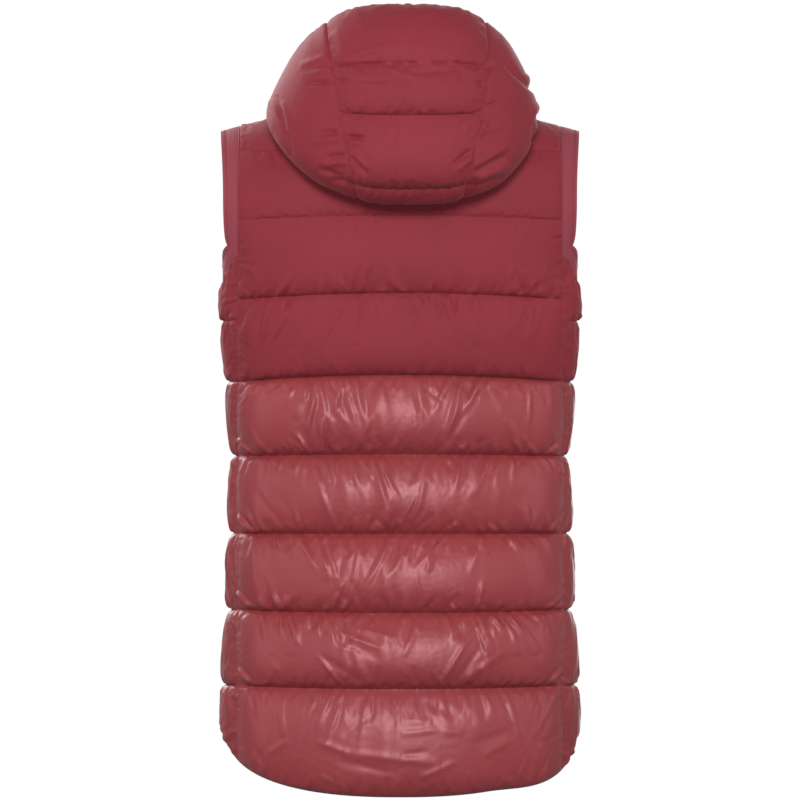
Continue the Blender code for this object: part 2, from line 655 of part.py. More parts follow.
def hood_surface(across, along):
    """across is 0 at the middle of the back, 1 at the seam of the middle panel and 2 at the
    front corner. Near its lower edge the hood follows the neck seam."""
    run = np.abs(across)
    seam_x = column(HOOD_SEAM, HOOD_SEAM_COLUMNS, "seam_x", along)
    widest = column(HOOD_STATIONS, HOOD_COLUMNS, "half_width", along)
    seam_at = HOOD_SIDE_AT * 2 / np.pi * np.arcsin(seam_x / widest)
    place = np.where(run <= 1, run * seam_at, seam_at + (run - 1) * (1 - seam_at))
    last = np.pi - math.asin(HOOD_FRONT_X / NECK_HALF_WIDTH)
    turn = np.interp(place, (0, HOOD_SIDE_AT, 1), (0, np.pi / 2, last))
    seam, out, inward = neck_seam(turn)
    edge = seam + out * HOOD_SEAM_LIFT - inward * HOOD_SEAM_OUT
    settle = (1 - smooth(along / HOOD_SETTLED_AT))[..., None]
    points = hood_arch(place, along) + (edge - hood_arch(place, 0 * along)) * settle
    hang = smooth(along / 0.35) * smooth(2.0 - run) ** 2
    shift = HOOD_SHIFT_X + (HOOD_BRIM_SHIFT_X - HOOD_SHIFT_X) * smooth((along - 0.65) / 0.35)
    points[..., 0] = points[..., 0] * np.sign(across + 1e-12) + shift * hang
    return points


def hood_upper_surface(across, row):
    """The panels between base band and brim band: rows count the middle panel's lines."""
    return hood_surface(across, blend_lines([line + 0 * row for line in HOOD_LINES], row))


def hood_base_surface(across, rise):
    return hood_surface(across, rise * HOOD_BASE_AT)


def hood_brim_surface(across, rise):
    return hood_surface(across, HOOD_BRIM_AT + rise * (1 - HOOD_BRIM_AT))


def hood():
    """The hood, hanging open down the back: base band, middle panel, two sides, brim band."""
    middle = np.linspace(-1, 1, 15)
    side_run = np.array((1.0, 1.07, 1.14, 1.21, 1.28, 1.35, 1.43, 1.52, 1.61, 1.7, 1.8, 1.9, 2.0))
    inner_side = picked(len(side_run), 2, range(HOOD_BEND_FROM, len(side_run)))
    upper_rows = np.concatenate([[0.0, 0.5], 1 + channel_rows(len(HOOD_PUFF) - 1, HOOD_STEPS)])
    inner_up = picked(len(upper_rows), 2)

    def middle_height(across, row):
        edge = (1 - np.abs(across)) * 0.075
        waves = gathers(across * 0.075, row, 2)
        return channel_puff(row, HOOD_PUFF) * pinch(edge, 0.022) + 0.6 * waves * pinch(edge, least=0)

    def side_height(across, row):
        from_seam = (np.abs(across) - 1) * 0.20
        ends = pinch(row * 0.06, 0.02, 0.2) * pinch((len(HOOD_PUFF) - row) * 0.08, 0.02, 0.3)
        waves = 0.0016 * np.exp(-(from_seam / 0.022) ** 2) * np.cos(2 * np.pi * row / 0.36 + 1.1)
        squashed = 0.2 + 0.8 * smooth((row - 1.0) / 1.2)
        return (HOOD_SIDE_PUFF * pinch(from_seam, 0.035, 0.2) + waves) * ends * squashed

    def flat_height(puff):
        def height(across, rise):
            return puff * (4 * rise * (1 - rise)).clip(0) ** 0.7
        return height
    full_run = np.concatenate([-side_run[:0:-1], middle, side_run[1:]])
    first, last = len(side_run) - 1, len(side_run) + len(middle) - 2
    inner_full = picked(len(full_run), 2, [first - i for i in inner_side]
                        + [last + i for i in inner_side])
    wall("hood_base", MATT_RED, hood_base_surface, full_run,
         np.array((0.0, 0.12, 0.3, 0.5, 0.7, 0.88, 1.0)), flat_height(HOOD_BASE_PUFF), "high",
         HOOD_LINING_DEPTH, inner_full, (0, 2, 4, 6), facing=-1, gap=TIGHT_SEAM_GAP)
    wall("hood_middle", MATT_RED, hood_upper_surface, middle, upper_rows, middle_height,
         "low high first last", HOOD_LINING_DEPTH, picked(len(middle), 2), inner_up, facing=-1)
    for side, letter in ((1, "l"), (-1, "r")):
        wall("hood_side_" + letter, MATT_RED, hood_upper_surface, side_run * side, upper_rows,
             side_height, "low high first", HOOD_LINING_DEPTH, inner_side, inner_up,
             facing=-1, gap=TIGHT_SEAM_GAP)
    wall("hood_brim", MATT_RED, hood_brim_surface, full_run, np.array((0.0, 0.2, 0.5, 0.8, 1.0)),
         flat_height(HOOD_BRIM_PUFF), "low", HOOD_LINING_DEPTH, inner_full, (0, 2, 4),
         facing=-1, gap=TIGHT_SEAM_GAP)


# ---------------------------------------------------------------- zip
def zip_line():
    """Points up the front's middle, from the hem to the collar's top, with directions out."""
    x = 0.0
    lines = [climb(FRONT, x, z) for z in (hem_height(FRONT, x),) + SKIRT_LINES + YOKE_LINES[1:]]
    lines.append(top_climb(FRONT, x))
    rows = np.linspace(0, len(lines) - 1, 2 * (len(lines) - 1) + 1)
    body = shell(FRONT, x, blend_lines(lines, rows))
    collar_rise = np.linspace(0, 1, 7)[1:]
    upper = collar_surface(np.full(len(collar_rise), np.pi), collar_rise)
    points = np.concatenate([body, upper])
    along = unit(np.gradient(points, axis=0))
    out = unit(np.cross(np.tile((1.0, 0.0, 0.0), (len(points), 1)), along))
    return points, out


def zip_strip(name, material, left_x, right_x, rise, inside):
    """A strip that follows the zip's line between two places across it."""
    points, out = zip_line()
    bm = bmesh.new()
    corners = ((left_x, rise), (right_x, rise), (right_x, -inside), (left_x, -inside))
    rings = [[bm.verts.new(p + (x, 0, 0) + n * lift) for x, lift in corners]
             for p, n in zip(points, out)]
    for low, high in zip(rings[:-1], rings[1:]):
        for i in range(4):
            bm.faces.new((low[i], low[(i + 1) % 4], high[(i + 1) % 4], high[i]))
    bm.faces.new(rings[0])
    bm.faces.new(rings[-1])
    finish_mesh(bm, name, material)


def box_mesh(bm, low, high):
    """A box between two corners, added to a mesh."""
    made = bmesh.ops.create_cube(bm, size=1.0)["verts"]
    for v in made:
        v.co = [a + (b - a) * (c + 0.5) for a, b, c in zip(low, high, v.co)]


SLIDER_LENGTH, SLIDER_HALF_WIDTH, SLIDER_DEPTH = 0.013, 0.0048, 0.0030
BRIDGE_HALF_LENGTH, BRIDGE_HALF_WIDTH, BRIDGE_THICKNESS = 0.0048, 0.0009, 0.0010
PULL_AXIS_OFF_FACE = 0.0012
PULL_BAR_RADIUS, PULL_HALF_WIDTH, PULL_LENGTH = 0.0006, 0.0036, 0.030
PULL_HOLE_HALF_WIDTH, PULL_HOLE_LENGTH = 0.0018, 0.0066


def boolean(target, cutter, operation):
    """Joins a second object on, or cuts it away, and hides it."""
    modifier = target.modifiers.new(operation.title(), "BOOLEAN")
    modifier.operation = operation
    modifier.object = cutter
    modifier.solver = "EXACT"
    cutter.hide_render = True
    cutter.display_type = "WIRE"


def zip_slider():
    """The slider near the collar's top, its bridge, and the pull tab that turns under it."""
    points, out = zip_line()
    height = COLLAR_TOP_Z[FRONT] - 0.012
    at = np.array([np.interp(height, points[-7:, 2], points[-7:, i]) for i in range(3)])
    back_y = at[1] - ZIP_TEETH_RISE - SEAM_GAP - 0.0012
    face_y = back_y - SLIDER_DEPTH
    axis_y = face_y - PULL_AXIS_OFF_FACE
    half = SLIDER_LENGTH / 2
    bm = bmesh.new()
    box_mesh(bm, (-SLIDER_HALF_WIDTH, face_y, height - half),
             (SLIDER_HALF_WIDTH, back_y, height + half))
    for v in bm.verts:
        if v.co.z < height:
            v.co.x *= 0.72
    slider = finish_mesh(bm, "zip_slider", METAL)
    bevel = slider.modifiers.new("Rounded", "BEVEL")
    bevel.width, bevel.segments = 0.0009, 2
    bridge_y = axis_y - PULL_BAR_RADIUS - 0.0005
    bm = bmesh.new()
    box_mesh(bm, (-BRIDGE_HALF_WIDTH, bridge_y - BRIDGE_THICKNESS, height - BRIDGE_HALF_LENGTH),
             (BRIDGE_HALF_WIDTH, face_y + 0.0010, height + BRIDGE_HALF_LENGTH))
    bridge = finish_mesh(bm, "bridge_block", METAL)
    bm = bmesh.new()
    inner = BRIDGE_HALF_LENGTH - 0.0013
    box_mesh(bm, (-0.003, bridge_y, height - inner), (0.003, face_y - 0.00005, height + inner))
    tunnel = finish_mesh(bm, "bridge_tunnel", METAL)
    boolean(bridge, tunnel, "DIFFERENCE")
    boolean(slider, bridge, "UNION")

    bm = bmesh.new()
    box_mesh(bm, (-PULL_HALF_WIDTH, axis_y - PULL_BAR_RADIUS, height - PULL_LENGTH),
             (PULL_HALF_WIDTH, axis_y + PULL_BAR_RADIUS, height + PULL_BAR_RADIUS))
    for v in bm.verts:
        v.co -= Vector((0, axis_y, height))
    pull = finish_mesh(bm, "zip_pull", METAL)
    pull.location = (0, axis_y, height)
    bm = bmesh.new()
    box_mesh(bm, (-PULL_HOLE_HALF_WIDTH, -0.002, -PULL_HOLE_LENGTH),
             (PULL_HOLE_HALF_WIDTH, 0.002, -PULL_BAR_RADIUS))
    hole = finish_mesh(bm, "pull_hole", METAL)
    hole.location = pull.location
    boolean(pull, hole, "DIFFERENCE")
    bevel = pull.modifiers.new("Rounded", "BEVEL")
    bevel.width, bevel.segments = 0.0003, 1


def main():
    for obj in list(bpy.data.objects):
        bpy.data.objects.remove(obj)
    back_panels()
    for side, letter in ((1, "l"), (-1, "r")):
        front_panels(side, letter)
        side_panels(side, letter)
        armhole_band(side, letter)
        inner_x, outer_x = ZIP_TEETH_HALF_WIDTH + SEAM_GAP, ZIP_EDGE_X - SEAM_GAP
        zip_strip("zip_tape_" + letter, TAPE_RED, side * inner_x, side * outer_x,
                  SEAM_RISE, ZIP_TAPE_DEPTH)
    zip_strip("zip_teeth", METAL, -ZIP_TEETH_HALF_WIDTH, ZIP_TEETH_HALF_WIDTH,
              ZIP_TEETH_RISE, ZIP_TAPE_DEPTH)
    collar()
    hood()
    zip_slider()


main()
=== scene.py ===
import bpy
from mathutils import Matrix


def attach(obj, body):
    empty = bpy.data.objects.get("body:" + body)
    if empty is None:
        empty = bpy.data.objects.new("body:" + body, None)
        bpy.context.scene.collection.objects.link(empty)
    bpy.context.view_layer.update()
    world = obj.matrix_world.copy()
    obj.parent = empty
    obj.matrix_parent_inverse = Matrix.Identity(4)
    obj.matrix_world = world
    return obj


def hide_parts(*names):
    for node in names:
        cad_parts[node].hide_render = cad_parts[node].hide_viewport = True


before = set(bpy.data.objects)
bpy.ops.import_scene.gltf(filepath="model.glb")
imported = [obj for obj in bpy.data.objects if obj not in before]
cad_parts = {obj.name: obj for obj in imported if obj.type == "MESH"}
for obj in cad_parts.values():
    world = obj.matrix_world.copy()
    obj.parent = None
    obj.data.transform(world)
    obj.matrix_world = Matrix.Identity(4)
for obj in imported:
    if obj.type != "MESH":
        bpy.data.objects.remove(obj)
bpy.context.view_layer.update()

import math

import bpy
import numpy as np
from mathutils import Vector

# ------------------------------------------------------------------ the back
# Two panels of woven nylon, a matt yoke above and a satin skirt below, are sewn edge to edge.
# Stitch lines part each into channels. The shell is cut fuller than its lining, so it gathers
# on every stitch line and swells between them when down is blown in.
BACK, FRONT = 1, -1
SECTION_COLUMNS = ("height", "half_width", "back_depth", "front_depth", "squareness")
SECTIONS = np.array([
    (-0.7425, 0.1915, 0.112, 0.112, 2.35),
    (-0.6225, 0.1920, 0.110, 0.112, 2.35),
    (-0.5390, 0.1860, 0.104, 0.108, 2.35),
    (-0.4520, 0.1835, 0.098, 0.106, 2.35),
    (-0.3660, 0.1810, 0.097, 0.110, 2.40),
    (-0.2805, 0.1885, 0.101, 0.117, 2.60),
    (-0.2180, 0.1950, 0.105, 0.117, 2.90),
    (-0.1350, 0.1960, 0.106, 0.106, 3.40),
    (-0.0800, 0.2050, 0.103, 0.100, 3.80),
])
DEPTH_COLUMN = {BACK: "back_depth", FRONT: "front_depth"}
SEAM_X = 0.1768             # the upright seams beside the back and the fronts
NECK_HALF_WIDTH = 0.0775
NECK_REACH = {BACK: 0.062, FRONT: 0.092}
ROLL_RADIUS = {BACK: 0.095, FRONT: 0.130}
SHOULDER_SLOPE, RIDGE_AT_MIDDLE, RIDGE_ROUNDING = 0.26, 0.0435, 0.030
HEM_MIDDLE_Z = {BACK: -0.7425, FRONT: -0.708}
HEM_SIDE_Z, HEM_SIDE_ROUNDING = -0.674, 0.16
HEM_RIGHT_DROP, HEM_DROP_FROM_X = 0.0100, 0.095
# Stitch lines above the hem: height at the middle, and how much lower each is at the sides.
LINES = np.array([
    (-0.6235, -0.0025),
    (-0.5400, -0.0025),
    (-0.4530, 0.0000),
    (-0.3655, 0.0020),
    (-0.2780, 0.0070),
    (-0.1880, 0.0070),
    (-0.1035, 0.0040),
    (-0.0286, 0.0020),
])
SEAM_RISE, LINING_DEPTH = 0.0006, 0.0030
LINING_STRIDE = 8           # the plain lining needs one cell where the shell has eight
SMALL_STEP = 1e-4           # for taking a surface's rate of change


def smooth(x):
    """3x² − 2x³ between 0 and 1, level beyond."""
    x = np.clip(x, 0.0, 1.0)
    return x * x * (3 - 2 * x)


def unit(vectors):
    """Each vector divided by its length."""
    return vectors / np.maximum(np.linalg.norm(vectors, axis=-1, keepdims=True), 1e-12)


def column(rows, names, name, at):
    """A named column of a table as a cubic Hermite curve along the table's first column."""
    places, values = rows[:, 0], rows[:, names.index(name)]
    at = np.clip(at, places[0], places[-1])
    slopes = np.gradient(values, places)
    i = np.clip(np.searchsorted(places, at, side="right") - 1, 0, len(places) - 2)
    span = places[i + 1] - places[i]
    t = (at - places[i]) / span
    keep = 2 * t**3 - 3 * t**2 + 1
    return (keep * values[i] + (1 - keep) * values[i + 1]
            + span * ((t**3 - 2 * t**2 + t) * slopes[i] + (t**3 - t**2) * slopes[i + 1]))


def section(name, z):
    """The body's measure of that name at height z."""
    return column(SECTIONS, SECTION_COLUMNS, name, z)


def ridge(x):
    """Shoulder line: its height at the middle, less the slope times the rounded distance out."""
    return RIDGE_AT_MIDDLE - SHOULDER_SLOPE * np.hypot(x, RIDGE_ROUNDING)


def depth(face, x, z):
    """A squared ellipse: reach · (1 − |x / half width|ⁿ)^(1/n), its sizes read for height z."""
    reach = section(DEPTH_COLUMN[face], z)
    power = section("squareness", z)
    share = np.clip(np.abs(x) / section("half_width", z), 0, 0.9999)
    return reach * (1 - share ** power) ** (1 / power)


def roll_start(face, x):
    """The ridge less the roll's radius."""
    return ridge(x) - ROLL_RADIUS[face]


def climb(face, x, z):
    """Distance up the cloth from the start of the shoulder's roll: straight, then an arc."""
    above = z - roll_start(face, x)
    radius = ROLL_RADIUS[face]
    return np.where(above < 0, above, radius * np.arcsin(np.clip(above / radius, 0, 1)))


def shell(face, x, climbed):
    """Point of the front or back: z runs straight up, then as r·sin, while y shrinks as cos."""
    start, radius = roll_start(face, x), ROLL_RADIUS[face]
    turn = np.clip(climbed, 0, None) / radius
    z = start + np.minimum(climbed, 0) + radius * np.sin(turn)
    y = face * depth(face, x, np.minimum(z, start)) * np.cos(turn)
    return np.stack(np.broadcast_arrays(x, y, z), axis=-1)


def top_climb(face, x):
    """The top edge: the shoulder ridge outside the neck, and an elliptic neck curve inside."""
    share = np.clip(np.abs(x) / NECK_HALF_WIDTH, 0, 1)
    neck_y = NECK_REACH[face] * np.sqrt(1 - share ** 2)
    turn = np.arccos(np.clip(neck_y / depth(face, x, roll_start(face, x)), 0, 1))
    return ROLL_RADIUS[face] * turn


def hem_drop(share):
    """0 at the side to 1 at the middle: hypot(share, rounding)^0.75, scaled to 0–1."""
    least, power = HEM_SIDE_ROUNDING, 0.75
    return ((np.hypot(share, least) ** power - least ** power)
            / (math.hypot(1, least) ** power - least ** power))


def hem_height(face, x):
    """side + (middle − side) · hem_drop(the body's depth there / its full depth), and at the
    wearer's right of the back a little lower: less drop · smooth(share of the way out)."""
    full = section(DEPTH_COLUMN[face], HEM_SIDE_Z)
    drop = hem_drop(depth(face, x, HEM_SIDE_Z) / full)
    hang = smooth((-x - HEM_DROP_FROM_X) / (SEAM_X - HEM_DROP_FROM_X)) if face == BACK else 0
    return HEM_SIDE_Z + (HEM_MIDDLE_Z[face] - HEM_SIDE_Z) * drop - HEM_RIGHT_DROP * hang


def line_height(line, x):
    """Stitch line: its middle height less its side drop times (x / seam x)²."""
    middle, drop = LINES[line].T
    return middle - drop * (x / SEAM_X) ** 2


def blend_lines(lines, row, first=0):
    """Row first lies on the first line, the next row on the second, straight between."""
    found = lines[0]
    for i in range(len(lines) - 1):
        found = found + (lines[i + 1] - lines[i]) * np.clip(row - first - i, 0, 1)
    return found


def body_surface(face):
    """Front or back: row 0 is the hem, 1 to 8 are the stitch lines, 9 is the top edge."""
    def surface(x, row):
        lines = [climb(face, x, hem_height(face, x))]
        lines += [climb(face, x, line_height(i, x)) for i in range(len(LINES) - 1)]
        top = top_climb(face, x)
        at_back = face == BACK
        lines.append(climb(face, x, line_height(-1, x)) if at_back else (lines[-1] + top) / 2)
        lines.append(top)
        return shell(face, x, blend_lines(lines, row))
    return surface


def outward(surface, across, row, turn):
    """Unit normals: turn · (rate of change across) × (rate of change up)."""
    along = surface(across + SMALL_STEP, row) - surface(across - SMALL_STEP, row)
    up = surface(across, row + SMALL_STEP) - surface(across, row - SMALL_STEP)
    return unit(np.cross(along, up)) * turn


def channel_puff(row, puffs, first=0):
    """A channel's height between its two stitch lines: puff · (4t(1 − t))^0.6."""
    index = np.clip(np.floor(row - first), 0, len(puffs) - 1).astype(int)
    t = np.clip(row - first - index, 0, 1)
    return np.take(puffs, index) * (4 * t * (1 - t)) ** 0.6


def pinch(distance, reach, least):
    """A channel flattens towards a seam: least at the seam, and from there on
    least + (1 − least) · sin(quarter turn · distance / reach)^0.8, up to 1."""
    return least + (1 - least) * np.sin(np.pi / 2 * np.clip(distance / reach, 0, 1)) ** 0.8


def stitched(row):
    """1 on a stitch line, 0 between."""
    return (np.abs(row - np.round(row)) < 1e-6).astype(float)


PLEAT_LEAN, LEAN_SPREAD, LEAN_WAVE = 0.35, 0.6, 0.041   # how pleats slant, alike in waves
PLEAT_LENGTHS, LENGTH_SPREAD = {1: 0.75, -1: 1.1}, 0.5  # shorter above a stitch line than below
PLEAT_WIDTHS, PLEAT_FOOT, PLEAT_FLARE = (0.32, 0.62), 0.65, 0.7
PLEAT_SIZES, SMALL_ONES = (0.3, 1.0), 1.3               # small pleats are the more common
BUNCHES, BUNCH_WAVE = (0.45, 0.55), 0.052               # they stand strong and weak by turns
PLEAT_RISE, PLEAT_FADE, TO_FULL = 0.6, 1.8, 3.86


def gathers(along, row, spacing, reach, seed, channel=0.088):
    """Pleats beside each stitch line, one every spacing metres or so on either side of it. Each
    is a ridge between two hollows, size · (1 − q)·e^(−q) with q = (distance / width)². It
    starts at the stitches, leans, widens to its end, and rises and fades as
    u^0.6·(1 − u)^1.8. Where several meet, their sum s is held back to tanh(s)."""
    rng = np.random.default_rng(seed)
    found = np.zeros(np.broadcast(along, row).shape)
    low, high = along.min(), along.max()
    count = int((high - low) / spacing)
    for near in range(int(np.ceil(row.min())), int(np.floor(row.max())) + 1):
        for side in (1, -1):
            starts = rng.uniform(low, high, count)
            slants = PLEAT_LEAN * (rng.normal(0, LEAN_SPREAD, count)
                                   + np.sin(starts / LEAN_WAVE + near + side))
            lengths = reach * rng.lognormal(0, LENGTH_SPREAD, count) * PLEAT_LENGTHS[side]
            widths = spacing * rng.uniform(*PLEAT_WIDTHS, count)
            bunched = np.sin(starts / BUNCH_WAVE + 2.1 * near + 1.3 * side) ** 2
            sizes = rng.uniform(*PLEAT_SIZES, count) ** SMALL_ONES * (
                BUNCHES[0] + BUNCHES[1] * bunched)
            up = (row - near) * side * channel
            for k in range(count):
                u = up / lengths[k]
                part = (u > 0) & (u < 1) & (np.abs(along - starts[k]) < lengths[k] * 1.2 + 0.02)
                v = u[part]
                w = widths[k] * (PLEAT_FOOT + PLEAT_FLARE * v)
                q = ((along[part] - starts[k] - slants[k] * up[part]) / w) ** 2
                found[part] += (sizes[k] * (1 - q) * np.exp(-q)
                                * v ** PLEAT_RISE * (1 - v) ** PLEAT_FADE * TO_FULL)
    return np.tanh(found)


def creased(points, creases):
    """Hollows (depth above 0) and ridges, each straight between two places (x, z), in
    millimetres: depth · e^−(distance / width)² across it, tapering as √(4t(1 − t))."""
    x, z = points[..., 0], points[..., 2]
    found = np.zeros(x.shape)
    for x0, z0, x1, z1, width, deep in np.reshape(creases, (-1, 6)) / 1000:
        run, rise = x1 - x0, z1 - z0
        t = np.clip(((x - x0) * run + (z - z0) * rise) / (run ** 2 + rise ** 2), 0, 1)
        away = np.hypot(x - x0 - run * t, z - z0 - rise * t)
        found -= deep * np.exp(-(away / width) ** 2) * np.sqrt(4 * t * (1 - t))
    return found


def grid_faces(shape, flip, first=0):
    """Quads of a grid whose points are numbered row by row."""
    index = np.arange(shape[0] * shape[1]).reshape(shape) + first
    quads = np.stack([index[:-1, :-1], index[:-1, 1:], index[1:, 1:], index[1:, :-1]], axis=-1)
    quads = quads.reshape(-1, 4)
    return quads[:, ::-1] if flip else quads


def make_mesh(name, points, quads, triangles=None, uv=None, sharp=60):
    """Puts whole arrays of points, quads and triangles into a mesh, smooth but for its rims."""
    triangles = np.zeros((0, 3), int) if triangles is None else triangles
    corners = np.concatenate([quads.ravel(), triangles.ravel()])
    starts = np.concatenate([np.arange(len(quads)) * 4,
                             len(quads) * 4 + np.arange(len(triangles)) * 3])
    mesh = bpy.data.meshes.new(name)
    mesh.vertices.add(len(points))
    mesh.vertices.foreach_set("co", points.astype(np.float32).ravel())
    mesh.loops.add(len(corners))
    mesh.loops.foreach_set("vertex_index", corners.astype(np.int32))
    mesh.polygons.add(len(starts))
    mesh.polygons.foreach_set("loop_start", starts.astype(np.int32))
    mesh.update(calc_edges=True)
    if uv is not None:
        layer = mesh.uv_layers.new(name="cloth")
        layer.data.foreach_set("uv", uv[corners].astype(np.float32).ravel())
    mesh.shade_smooth()
    mesh.set_sharp_from_angle(angle=math.radians(sharp))
    obj = bpy.data.objects.new(name, mesh)
    bpy.context.scene.collection.objects.link(obj)
    return obj


FILL_FRAMES, EASE_STEPS = 20, 20
DOWN_PRESSURE = 6.0


def fill_with_down(start, held, ease, flip, farthest):
    """Swells a sewn panel with Blender's cloth simulation. held is 1 where a point is stitched
    down, and ease is how much longer the cloth is than its grid there. Each point ends at
    start + move · min(1, farthest / length of the move)."""
    panel = make_mesh("panel_being_filled", start.reshape(-1, 3), grid_faces(held.shape, flip))
    pins = panel.vertex_groups.new(name="stitched")
    pins.add(np.nonzero(held.ravel())[0].tolist(), 1.0, "REPLACE")
    tight = panel.vertex_groups.new(name="tight")
    most = float(ease.max())
    steps = np.round((1 - ease / most) * EASE_STEPS).astype(int).ravel()
    for step in np.unique(steps[steps > 0]):
        tight.add(np.nonzero(steps == step)[0].tolist(), step / EASE_STEPS, "REPLACE")
    cloth = panel.modifiers.new("Cloth", "CLOTH")
    s = cloth.settings
    s.quality, s.mass = 5, 0.05
    s.tension_stiffness = s.compression_stiffness = 10.0
    s.shear_stiffness, s.bending_stiffness = 3.0, 0.02
    s.tension_damping = s.compression_damping = s.shear_damping = 5.0
    s.vertex_group_mass, s.pin_stiffness = "stitched", 1.0
    s.vertex_group_shrink = "tight"
    s.shrink_min, s.shrink_max = -most, 0.0
    s.use_pressure, s.uniform_pressure_force = True, DOWN_PRESSURE
    s.use_pressure_volume, s.target_volume = True, 0.0
    s.effector_weights.gravity = 0.0
    cloth.collision_settings.use_collision = False
    cloth.point_cache.frame_start, cloth.point_cache.frame_end = 1, FILL_FRAMES
    scene = bpy.context.scene
    for step in range(1, FILL_FRAMES + 1):
        scene.frame_set(step)
    swollen = panel.evaluated_get(bpy.context.evaluated_depsgraph_get()).data
    found = np.empty(held.size * 3, np.float32)
    swollen.vertices.foreach_get("co", found)
    bpy.data.objects.remove(panel)
    scene.frame_set(1)
    move = found.reshape(start.shape).astype(float) - start
    length = np.linalg.norm(move, axis=-1, keepdims=True)
    return start + move * np.minimum(1, farthest / np.maximum(length, 1e-9))


def halve_steps(grid):
    """Doubles a grid's fineness: each new point is (−1, 9, 9, −1)/16 of its neighbours."""
    for axis in (0, 1):
        g = np.moveaxis(grid, axis, 0)
        ends = np.concatenate([2 * g[:1] - g[1:2], g, 2 * g[-1:] - g[-2:-1]])
        between = (9 * (ends[1:-2] + ends[2:-1]) - ends[:-3] - ends[3:]) / 16
        fine = np.empty((2 * len(g) - 1,) + g.shape[1:])
        fine[::2], fine[1::2] = g, between
        grid = np.moveaxis(fine, 0, axis)
    return grid


def rim(fine, coarse, flip):
    """Triangles between a fine edge and a coarse one whose steps are LINING_STRIDE longer:
    each fine step looks to the nearest coarse point, each coarse step to its middle."""
    count = len(fine) - 1
    near = np.round((np.arange(count) + 0.5) / LINING_STRIDE - 0.001).astype(int)
    near = np.clip(near, 0, len(coarse) - 1)
    first = np.stack([fine[:-1], fine[1:], coarse[near]], axis=-1)
    middle = np.arange(len(coarse) - 1) * LINING_STRIDE + LINING_STRIDE // 2
    second = np.stack([coarse[1:], coarse[:-1], fine[middle]], axis=-1)
    found = np.concatenate([first, second])
    return found[:, ::-1] if flip else found


def closed_wall(name, outer, base, out, turn):
    """The filled shell outside, and inside a plain lining LINING_DEPTH below the stitch level
    on every eighth point. Its UV map is the distance along the cloth in metres."""
    lining = (base - out * LINING_DEPTH)[::LINING_STRIDE, ::LINING_STRIDE]
    points = np.concatenate([outer.reshape(-1, 3), lining.reshape(-1, 3)])
    flip = turn < 0
    shape, inner_shape = outer.shape[:2], lining.shape[:2]
    first = shape[0] * shape[1]
    quads = np.concatenate([grid_faces(shape, flip), grid_faces(inner_shape, not flip, first)])
    a = np.arange(first).reshape(shape)
    b = np.arange(inner_shape[0] * inner_shape[1]).reshape(inner_shape) + first
    triangles = np.concatenate([
        rim(a[0], b[0], not flip), rim(a[-1], b[-1], flip),
        rim(a[:, 0], b[:, 0], flip), rim(a[:, -1], b[:, -1], not flip)])
    run = np.linalg.norm(np.diff(base, axis=1, prepend=base[:, :1]), axis=-1)
    rise = np.linalg.norm(np.diff(base, axis=0, prepend=base[:1]), axis=-1)
    uv = np.stack([np.cumsum(run, axis=1), np.cumsum(rise, axis=0)], axis=-1)
    inner_uv = uv[::LINING_STRIDE, ::LINING_STRIDE]
    uv = np.concatenate([uv.reshape(-1, 2), inner_uv.reshape(-1, 2)])
    return make_mesh(name, points, quads, triangles, uv)


def settled(offset, rows, power):
    """Down settles low in each channel: what stands at share t of the way up between two
    stitch lines is taken from share t^power, power being given for each column."""
    per_row = (len(rows) - 1) / (rows[-1] - rows[0])
    channel = np.minimum(np.floor(rows - rows[0] + 1e-9), np.ceil(rows[-1] - rows[0]) - 1)
    share = np.clip(rows - rows[0] - channel, 0, 1)[:, None] ** power[None, :]
    source = np.clip((channel[:, None] + share) * per_row, 0, len(rows) - 1.0001)
    low = np.floor(source).astype(int)
    part = (source - low)[..., None]
    columns = np.arange(len(power))[None, :]
    return offset[low, columns] * (1 - part) + offset[low + 1, columns] * part


# Spacing and reach of the pleats in metres: before filling, after it, and along the seams.
WIDE_PLEATS, FINE_PLEATS, SEAM_PLEATS = (0.0145, 0.040), (0.0088, 0.028), (0.0070, 0.013)
FINE_SHARE, SEAM_PUCKER, SEAM_WIDTH = 0.95, 0.0016, 0.025
OTHER_SEAM = 0.37           # metres apart, so that two seams don't pucker alike


